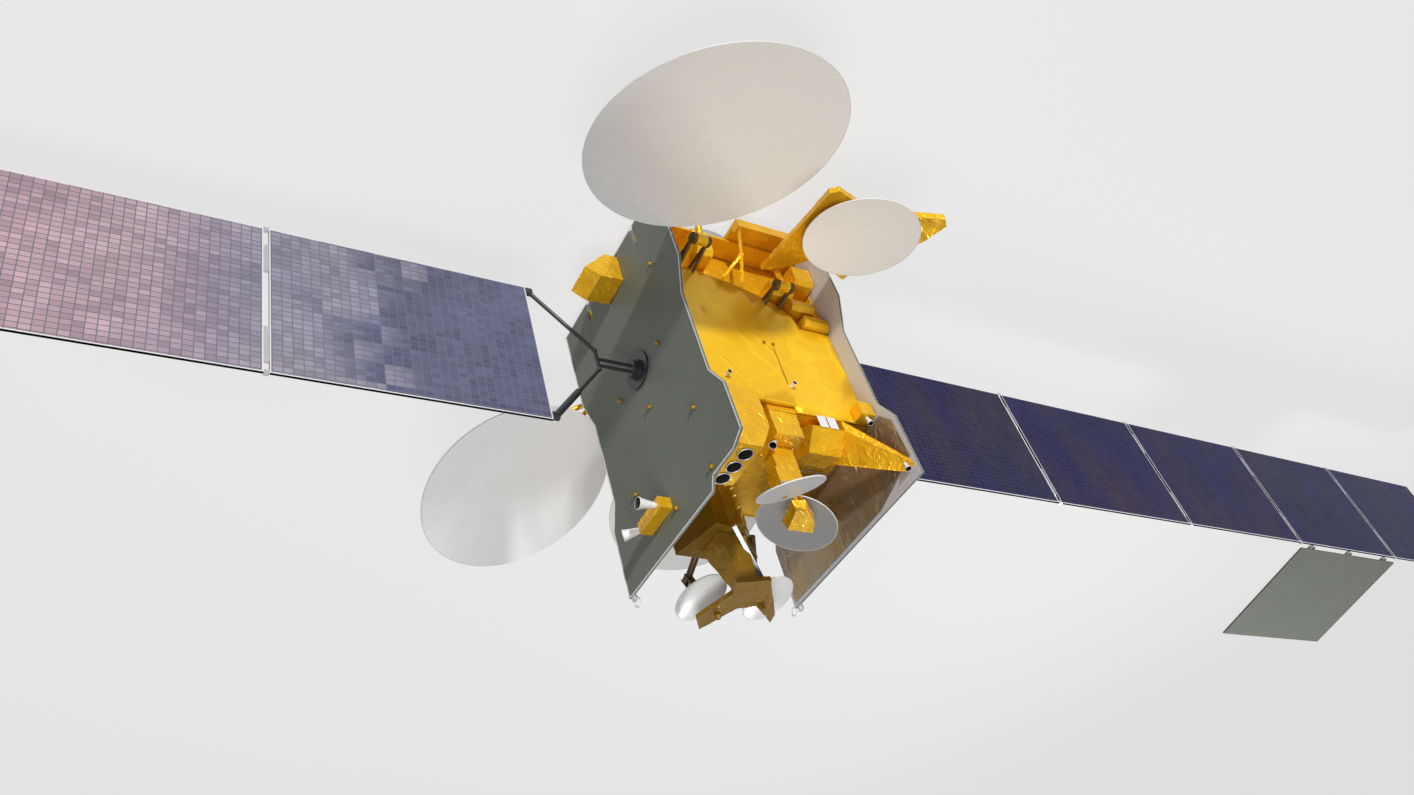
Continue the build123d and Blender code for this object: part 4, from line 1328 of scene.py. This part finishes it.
@dataclass
class SideReflector(Dish):
    """Rim and backing ribs of a reflector beside the body.

    Fields: the number of its ribs, their height and half thickness, the stretches of each, where
    each begins and how far it runs, as shares of the rim's radius; the rings' places, as such
    shares, and half their width.
    """

    bead_radius: float = 0.006
    bead_steps: int = 128
    rib_count: int = 12
    rib_height: float = 0.022
    rib_half: float = 0.008
    rib_stretches: int = 8
    rib_start: float = 0.10
    rib_share: float = 0.86
    ring_shares: Pair = (0.30, 0.88)
    ring_half: float = 0.012

    def sag(self, radius: float) -> float:
        """Height of the bowl's back from the rim's plane.

        Args:
            radius: distance from the bowl's axis.

        Returns:
            The height, which is negative.
        """
        half = self.diameter / 2
        bend = (half**2 + self.depth**2) / (2 * self.depth)
        return bend - self.depth - math.sqrt(bend**2 - radius**2) - DISH_SKIN

    def rib(self, draft: Draft, way: Vector) -> None:
        """Adds a stiffener along a radius of the bowl's back.

        Args:
            draft: the piece.
            way: the radius's direction in the rim's plane.
        """
        place, half = self.place, self.diameter / 2
        across = Vector((-way.y, way.x, 0.0)) * self.rib_half
        stations = [
            half * (self.rib_start + self.rib_share * step / self.rib_stretches)
            for step in range(self.rib_stretches + 1)
        ]
        for near, far in zip(stations, stations[1:]):
            corners = [
                place @ (way * radius + Vector((0.0, 0.0, self.sag(radius) + rise)) - across)
                for radius, rise in (
                    (near, 0.002),
                    (far, 0.002),
                    (far, -self.rib_height),
                    (near, -self.rib_height),
                )
            ]
            draft.slab(corners, place.to_3x3() @ (across * 2))

    def ribs(self) -> bpy.types.Object:
        """Radial stiffeners and two rings on the bowl's back.

        Returns:
            The piece.
        """
        draft = Draft()
        for cosine, sine in around(self.rib_count, 0.5):
            self.rib(draft, Vector((cosine, sine, 0.0)))
        for share in self.ring_shares:
            radius = self.diameter / 2 * share
            inner, outer = radius - self.ring_half, radius + self.ring_half
            base = self.sag(radius)
            top, foot = base + 0.003, base - self.rib_height
            section = ((inner, top), (outer, top), (outer, foot), (inner, foot))
            draft.ring(self.place, section, 72)
        return draft.release(f"{self.name}_back_ribs", CARBON, self.body)

    def build(self) -> None:
        """Makes the rim and the ribs."""
        self.rim()
        self.ribs()


@dataclass
class DeckDish(Dish):
    """Rim bead and hub collar of a dish on the Earth deck.

    Fields: the radii of the collar's bore, neck and flange.
    """

    bore: float = 0.031
    neck: float = 0.050
    flange: float = 0.105

    def hub(self) -> bpy.types.Object:
        """Collar behind the bowl.

        Returns:
            The piece.
        """
        draft = Draft()
        foot = -self.depth - DISH_SKIN
        section = (
            (self.bore, foot - 0.035),
            (self.neck, foot - 0.030),
            (self.flange, foot - 0.004),
            (self.flange, foot + 0.004),
            (self.bore, foot + 0.004),
        )
        draft.ring(self.place, section, 40)
        return draft.release(f"{self.name}_hub", METAL, self.body)

    def build(self) -> None:
        """Makes the rim bead, and the collar where the dish has a bowl."""
        self.rim()
        if self.depth:
            self.hub()


# ----------------------------------------------------------------------------- small fittings


@dataclass
class HornMouths:
    """Near-black cones as painted shade, and lips, in the feed block's mouths, the command horns
    and the thrusters.

    Fields: places, level and radius of the feed mouths; the command horns' length, mouth radius
    and level, and the root and way of each; each thruster's foot with its height above the array
    axis, way, length and mouth radius.
    """

    mouth_places: Sequence[Pair] = ((1.07, 1.0), (0.85, 1.02), (0.64, 1.05))
    mouth_level: float = 2.24
    mouth_radius: float = 0.085
    horn_length: float = 0.24
    horn_mouth: float = 0.072
    horn_level: float = 2.03
    horns: Sequence[tuple[Pair, Point]] = (
        ((-0.19, 1.42), (0.0, 1.0, 0.0)),
        ((-0.64, 1.36), (-0.65, 0.76, 0.0)),
    )
    thrusters: Sequence[tuple[Point, Point, float, float]] = (
        ((1.0, 0.79, 0.92), (1.0, 0.0, 0.0), 0.075, 0.032),
        ((1.0, -0.17, 0.89), (1.0, 0.0, 0.0), 0.075, 0.032),
        ((1.11, -1.09, 1.31), (0.2, 0.0, 0.98), 0.12, 0.040),
        ((0.82, 0.26, 1.70), (0.2, 0.6, 0.77), 0.13, 0.048),
        ((1.28, -1.18, 2.184), (0.2, 0.1, 0.97), 0.09, 0.040),
    )

    def at_feed_mouths(self, section: Sequence[Pair]) -> Draft:
        """Turns one profile at every feed mouth.

        Args:
            section: the profile's corners as radius and height above the mouth.

        Returns:
            The draft of the piece.
        """
        draft = Draft()
        for x, y in self.mouth_places:
            draft.ring(placement((x, y, above(self.mouth_level)), UPWARD), section, 40)
        return draft

    def feed_mouths(self) -> None:
        """Near-black cone in each feed mouth as painted shade, and metal lip round it."""
        r = self.mouth_radius
        throat = (
            (r - 0.002, -0.001),
            (r - 0.038, -0.153),
            (0.004, -0.154),
            (0.004, -0.157),
            (r - 0.035, -0.157),
            (r - 0.0005, -0.001),
        )
        lip = ((r, 0.001), (r + 0.016, 0.001), (r + 0.013, 0.009), (r, 0.009))
        self.at_feed_mouths(throat).release("feed_throat_shade", MOUTH_SHADE)
        self.at_feed_mouths(lip).release("feed_lips", METAL, smooth=True)

    def horn_rings(self) -> bpy.types.Object:
        """Lip and collar of each command horn.

        Returns:
            The piece.
        """
        draft = Draft()
        r, length = self.horn_mouth, self.horn_length
        lip = (
            (r - 0.005, length - 0.002),
            (r + 0.003, length - 0.004),
            (r + 0.005, length - 0.012),
            (r + 0.001, length - 0.016),
            (r - 0.001, length - 0.010),
        )
        collar = ((0.033, 0.03), (0.041, 0.03), (0.041, 0.05), (0.035, 0.05))
        for (x, y), way in self.horns:
            place = placement((x, y, above(self.horn_level)), way, UPWARD)
            draft.ring(place, lip, 32)
            draft.ring(place, collar, 24)
        return draft.release("horn_rings", WHITE, smooth=True)

    def shade_cones(self) -> bpy.types.Object:
        """Near-black cone inside each command horn and thruster, as painted shade.

        Returns:
            The piece.
        """
        draft = Draft()
        horn = (0.062, 0.0245, self.horn_length, self.horn_mouth - 0.005)
        cones = [((*root, self.horn_level), way, *horn) for root, way in self.horns]
        cones += [
            (foot, way, 0.027, 0.0115, length, radius - 0.004)
            for foot, way, length, radius in self.thrusters
        ]
        for (x, y, z), way, throat, throat_radius, length, mouth in cones:
            section = (
                (mouth - 0.0022, length - 0.001),
                (throat_radius - 0.0022, throat + 0.003),
                (0.002, throat + 0.003),
                (0.002, throat + 0.001),
                (throat_radius - 0.0006, throat + 0.001),
                (mouth - 0.0006, length - 0.001),
            )
            draft.ring(placement((x, y, above(z)), way, (0.1, 0.3, 1.0)), section, 32)
        return draft.release("shade_cones", MOUTH_SHADE)

    def build(self) -> None:
        """Makes the linings, lips and rings."""
        self.feed_mouths()
        self.horn_rings()
        self.shade_cones()


@dataclass
class DeckFittings:
    """Cover plates, strut, waveguides and wire loops round the Earth deck.

    Fields: the plates' sides in Y, depths in X and ends in height above the array axis; the
    strut's foot, head, half width and thickness; the guides' width and the level that they lie
    on; the place in Y and far end in X of each long guide, their near end in X and the rise at
    the far one, in guide widths; the places in X of the short ones and their ends in Y; the
    loops' radius, wire and places.
    """

    plates: Sequence[Pair] = ((-0.385, -0.515), (-0.535, -0.665))
    plate_depths: Pair = (0.992, 0.998)
    plate_ends: Pair = (1.31, 1.49)
    strut_foot: Point = (-0.30, 0.30, 2.08)
    strut_head: Point = (-0.80, -0.35, 2.67)
    strut_half_width: float = 0.028
    strut_thickness: float = 0.012
    guide: float = 0.026
    guide_level: float = 1.318
    long_guides: Sequence[Pair] = ((0.98, -0.40), (1.06, -0.46), (1.14, -0.52))
    long_guide_start: float = 0.56
    guide_rise: int = 3
    short_guides: Sequence[float] = (-0.05, 0.05, 0.15)
    short_guide_ends: Pair = (-1.15, -0.75)
    loop_radius: float = 0.058
    loop_wire: float = 0.007
    loop_places: Sequence[Point] = ((-1.29, 1.239, 2.60), (-1.47, -1.239, 2.425))

    def patches(self) -> bpy.types.Object:
        """Two white cover plates that stand on the wall's Earth-side edge.

        Returns:
            The piece.
        """
        draft = Draft()
        low, high = (above(end) for end in self.plate_ends)
        for near, far in self.plates:
            draft.box((self.plate_depths[0], far, low), (self.plate_depths[1], near, high))
        return draft.release("cover_patches", WHITE, rounding=0.002)

    def struts(self) -> bpy.types.Object:
        """Flat grey strut from the deck tower to the three-armed feed plate.

        Returns:
            The piece.
        """
        draft = Draft()
        foot, head = (
            Vector((x, y, above(z))) for x, y, z in (self.strut_foot, self.strut_head)
        )
        across = (head - foot).cross(Vector(UPWARD)).normalized() * self.strut_half_width
        rise = (head - foot).cross(across).normalized() * self.strut_thickness
        corners = [foot - across, foot + across, head + across, head - across]
        draft.slab([corner - rise / 2 for corner in corners], rise)
        return draft.release("deck_strut", METAL, rounding=0.003)

    def waveguides(self) -> bpy.types.Object:
        """Rectangular guides that run over the deck from the body to the feeds.

        Returns:
            The piece.
        """
        draft = Draft()
        width, half, base = self.guide, self.guide / 2, above(self.guide_level)
        top, turned_up = base + width, base + self.guide_rise * width
        for y, end in self.long_guides:
            draft.box((end, y - half, base), (self.long_guide_start, y + half, top))
            draft.box((end - width, y - half, base), (end, y + half, turned_up))
        near, far = self.short_guide_ends
        for x in self.short_guides:
            draft.box((x - half, near, base), (x + half, far, top))
        return draft.release("waveguides", METAL, rounding=0.003)

    def loops(self) -> bpy.types.Object:
        """Wire loops at the radiators' Earth-side corners.

        Returns:
            The piece.
        """
        draft = Draft()
        for x, y, height in self.loop_places:
            middle = Vector((x, y, above(height)))
            spokes = [Vector((cosine, 0.0, sine)) for cosine, sine in around(24)]
            route = [middle + spoke * self.loop_radius for spoke in spokes]
            draft.hoop(route, self.loop_wire, 8)
        return draft.release("corner_loops", METAL, smooth=True)

    def build(self) -> None:
        """Makes every fitting."""
        self.patches()
        self.struts()
        self.waveguides()
        self.loops()


@dataclass
class LaunchAdapter:
    """Rivets and gussets of the adapter ring, and bands and bolts of the engine.

    Fields: the ring's web radius and height; the rivets' count in a row and the rows' levels;
    the gussets' count, foot level and reach; the radius and level of each engine band; the
    bolts' count, circle and level.
    """

    web_radius: float = 0.813
    ring_height: float = 0.35
    rivet_count: int = 96
    rivet_levels: Pair = (0.055, 0.285)
    gusset_count: int = 24
    gusset_foot: float = 0.20
    gusset_reach: float = 0.036
    gusset_half: float = 0.003
    bands: Sequence[Pair] = ((0.075, 0.322), (0.132, 0.340))
    bolt_count: int = 12
    bolt_circle: float = 0.112
    bolt_level: float = 0.336

    def rivets(self) -> bpy.types.Object:
        """Two rows of rivets and the gussets round the ring's web.

        Returns:
            The piece.
        """
        draft = Draft()
        head = ((0.0, 0.004), (0.005, 0.003), (0.007, 0.0), (0.0, 0.0))
        for level in self.rivet_levels:
            for cosine, sine in around(self.rivet_count, 0.5):
                way = Vector((cosine, sine, 0.0))
                spot = way * (self.web_radius - 0.0005) + Vector((0.0, 0.0, level))
                draft.ring(placement(spot, way, UPWARD), head, 8)
        web = self.web_radius
        for cosine, sine in around(self.gusset_count):
            way = Vector((cosine, sine, 0.0))
            across = Vector((-way.y, way.x, 0.0)) * self.gusset_half
            corners = [
                way * radius + Vector((0.0, 0.0, level)) - across
                for radius, level in (
                    (web, self.gusset_foot),
                    (web + self.gusset_reach, self.ring_height - 0.012),
                    (web, self.ring_height - 0.045),
                )
            ]
            draft.slab(corners, across * 2)
        return draft.release("ring_rivets", METAL)

    def engine_bands(self) -> bpy.types.Object:
        """Stiffening bands and injector bolts of the apogee engine.

        Returns:
            The piece.
        """
        draft = Draft()
        base = placement((0.0, 0.0, 0.0), UPWARD)
        for radius, level in self.bands:
            inner, foot, top = radius - 0.008, level - 0.006, level + 0.004
            section = ((inner, foot), (radius, foot), (radius, top), (inner, top))
            draft.ring(base, section, 48)
        bolt = ((0.0, 0.010), (0.007, 0.010), (0.008, 0.0), (0.0, 0.0))
        for cosine, sine in around(self.bolt_count):
            spot = (self.bolt_circle * cosine, self.bolt_circle * sine, self.bolt_level)
            draft.ring(placement(spot, (0.0, 0.0, -1.0)), bolt, 6)
        return draft.release("engine_bands", METAL)

    def build(self) -> None:
        """Makes the ring's and the engine's fittings."""
        self.rivets()
        self.engine_bands()


# ----------------------------------------------------------------------------- stage


@dataclass
class Stage:
    """Floor, lamps, surround and camera.

    Fields: the camera's place, the way that it looks, its upward direction and its lens in
    millimetres for a sensor of the width that follows; the floor's half size, its colour and how
    far it shows white; the surround's strength on the object and what is added where it is seen;
    the key lamp's direction, the angle that it fills in radians, and how bright a surface that
    faces it renders, as a share of its own colour.
    """

    eye: Point = (8.432, 7.809, 11.845)
    look: Point = (-0.57585, -0.51212, -0.63729)
    upward: Point = (0.66518, 0.15971, -0.72940)
    lens: float = 29.0
    sensor: float = 36.0
    floor_reach: float = 120.0
    floor_colour: Colour = (0.66, 0.66, 0.67)
    floor_glow: float = 0.7
    surround: float = 0.18
    surround_seen: float = 0.56
    key_way: Point = (0.947, 0.303, -0.11)
    key_angle: float = 0.07
    key_share: float = 0.86

    def camera(self) -> None:
        """Makes the scene's camera."""
        data = bpy.data.cameras.new("camera")
        data.lens = self.lens
        data.sensor_width = self.sensor
        data.clip_end = 500.0
        camera = linked("camera", data)
        back = -Vector(self.look).normalized()
        right = Vector(self.upward).cross(back).normalized()
        turn = Matrix((right, back.cross(right), back)).transposed()
        camera.matrix_world = Matrix.Translation(self.eye) @ turn.to_4x4()
        bpy.context.scene.camera = camera

    def floor(self) -> bpy.types.Object:
        """Makes the pale floor, which shows white to the camera but keeps the shadows.

        Returns:
            The floor.
        """
        mesh = bpy.data.meshes.new("floor")
        r = self.floor_reach
        mesh.from_pydata([(-r, -r, 0), (r, -r, 0), (r, r, 0), (-r, r, 0)], [], [(0, 1, 2, 3)])
        floor = linked("floor", mesh)
        material = bpy.data.materials.new("floor")
        g = Graph.emptied(material)
        plain = g.add("BsdfDiffuse", Color=self.floor_colour).outputs[0]
        glow = g.add("Emission", Color=WHITE_LIGHT, Strength=1.0).outputs[0]
        share = g.maths("MULTIPLY", self.seen(g), self.floor_glow)
        g.add("OutputMaterial", Surface=g.chain("MixShader", (share, plain, glow)))
        mesh.materials.append(material)
        return floor

    def lamp(
        self, name: str, kind: str, place: Point, aim: Vector, **settings: Any
    ) -> bpy.types.Object:
        """Makes a lamp.

        Args:
            name: its name.
            kind: AREA or SUN.
            place: where it stands.
            aim: the way that it shines.
            settings: its other properties.

        Returns:
            The lamp.
        """
        data = bpy.data.lights.new(name, kind)
        for setting, value in settings.items():
            setattr(data, setting, value)
        lamp = linked(name, data)
        lamp.location = place
        lamp.rotation_mode = "QUATERNION"
        lamp.rotation_quaternion = aim.to_track_quat("-Z", "Y")
        return lamp

    def area(self, name: str, place: Point, size: float, power: float) -> None:
        """Makes a square area lamp that points at the body.

        Args:
            name: its name.
            place: where it stands.
            size: its side.
            power: its power in watts.
        """
        aim = Vector((0.0, 0.0, AXIS_HEIGHT)) - Vector(place)
        self.lamp(name, "AREA", place, aim, shape="SQUARE", size=size, energy=power)

    def key(self, floor: bpy.types.Object) -> None:
        """Makes the low distant lamp, which neither lights the floor nor is cut off by it.

        Args:
            floor: the floor.
        """
        way = Vector(self.key_way)
        energy = self.key_share * math.pi
        place = way * self.floor_reach
        lamp = self.lamp("key", "SUN", place, -way, angle=self.key_angle, energy=energy)
        for role in ("receiver_collection", "blocker_collection"):
            group = bpy.data.collections.new(f"{lamp.name}_{role}")
            group.objects.link(floor)
            group.collection_objects[0].light_linking.link_state = "EXCLUDE"
            setattr(lamp.light_linking, role, group)

    def seen(self, g: Graph) -> bpy.types.NodeSocket:
        """Mask of the rays that show the backdrop: camera, glossy and transmission.

        Args:
            g: the graph that uses it.

        Returns:
            The mask's output socket.
        """
        rays = g.add("LightPath").outputs
        mirrored = g.maths("MAXIMUM", rays["Is Glossy Ray"], rays["Is Transmission Ray"])
        return g.maths("MAXIMUM", rays["Is Camera Ray"], mirrored)

    def world(self) -> None:
        """Makes a plain pale surround."""
        world = bpy.data.worlds.new("surround")
        bpy.context.scene.world = world
        g = Graph.emptied(world)
        strength = g.maths("MULTIPLY_ADD", self.seen(g), self.surround_seen, self.surround)
        sky = g.add("Background", Color=WHITE_LIGHT, Strength=strength)
        g.add("OutputWorld", Surface=sky.outputs[0])

    def build(self) -> None:
        """Sets the floor, lamps, surround and camera."""
        bpy.context.scene.view_settings.view_transform = "Standard"
        self.camera()
        floor = self.floor()
        self.world()
        self.key(floor)
        self.area("fill", (6.0, 8.0, 20.0), 8.0, 1650.0)
        self.area("rim", (-5.6, -16.0, 12.85), 4.0, 1150.0)


def side_reflectors() -> list[SideReflector]:
    """The four reflectors beside the body.

    Returns:
        A sub-assembly for each, with its own sizes.
    """
    return [
        SideReflector(name, body_of(f"reflector_{name}"), *sizes, rib_count=ribs)
        for name, ribs, *sizes in (
            ("large_plus_x", 16, 3.10, 0.205, (3.0, 1.58, -0.65), (-0.224, -0.121, 0.967)),
            ("small_plus_x", 8, 1.50, 0.085, (2.37, -0.94, -0.61), (-0.235, 0.097, 0.967)),
            ("large_minus_x", 16, 2.80, 0.185, (-2.863, 1.665, -0.304), (0.259, -0.177, 0.95)),
            ("medium_minus_x", 12, 2.40, 0.150, (-2.71, -1.01, -0.2), (0.235, 0.097, 0.967)),
        )
    ]


def deck_dishes() -> list[DeckDish]:
    """The dishes on the Earth deck, of which the last one is flat and fixed.

    Returns:
        A sub-assembly for each, with its own sizes.
    """
    return [
        DeckDish(name, body_of(name), *sizes)
        for name, *sizes in (
            ("gregorian_main", 1.0, 0.08, (0.0, -0.4, 2.2), (-0.12, 0.43, 0.89)),
            ("spot_left", 0.74, 0.07, (-1.3, 0.3, 2.45), (0.24, -0.21, 0.95)),
            ("spot_right", 0.74, 0.07, (-1.2, -0.64, 2.45), (0.22, -0.15, 0.96)),
            ("subreflector", 0.82, 0.0, (0.93, 0.4, 2.54), (-0.286, -0.246, 0.926)),
        )
    ]


def main() -> None:
    """Builds the stage and every sub-assembly, and reports each piece."""
    logging.basicConfig(level=logging.INFO, format="%(name)s: %(message)s")
    Stage().build()
    for name, node in NODES.items():
        paint(node, finish_of(name))
    parts = [
        BodyBlankets(),
        Radiator("north_radiator", 1, NORTH_RADIATOR_OUTLINE),
        Radiator("south_radiator", -1, SOUTH_RADIATOR_OUTLINE),
        SolarWing("north", 1, CELLS_NORTH),
        SolarWing("south", -1, CELLS_SOUTH),
        *side_reflectors(),
        *deck_dishes(),
        HornMouths(),
        DeckFittings(),
        LaunchAdapter(),
    ]
    for part in parts:
        log.info("building %s", type(part).__name__)
        part.build()


if __name__ == "__main__":
    main()
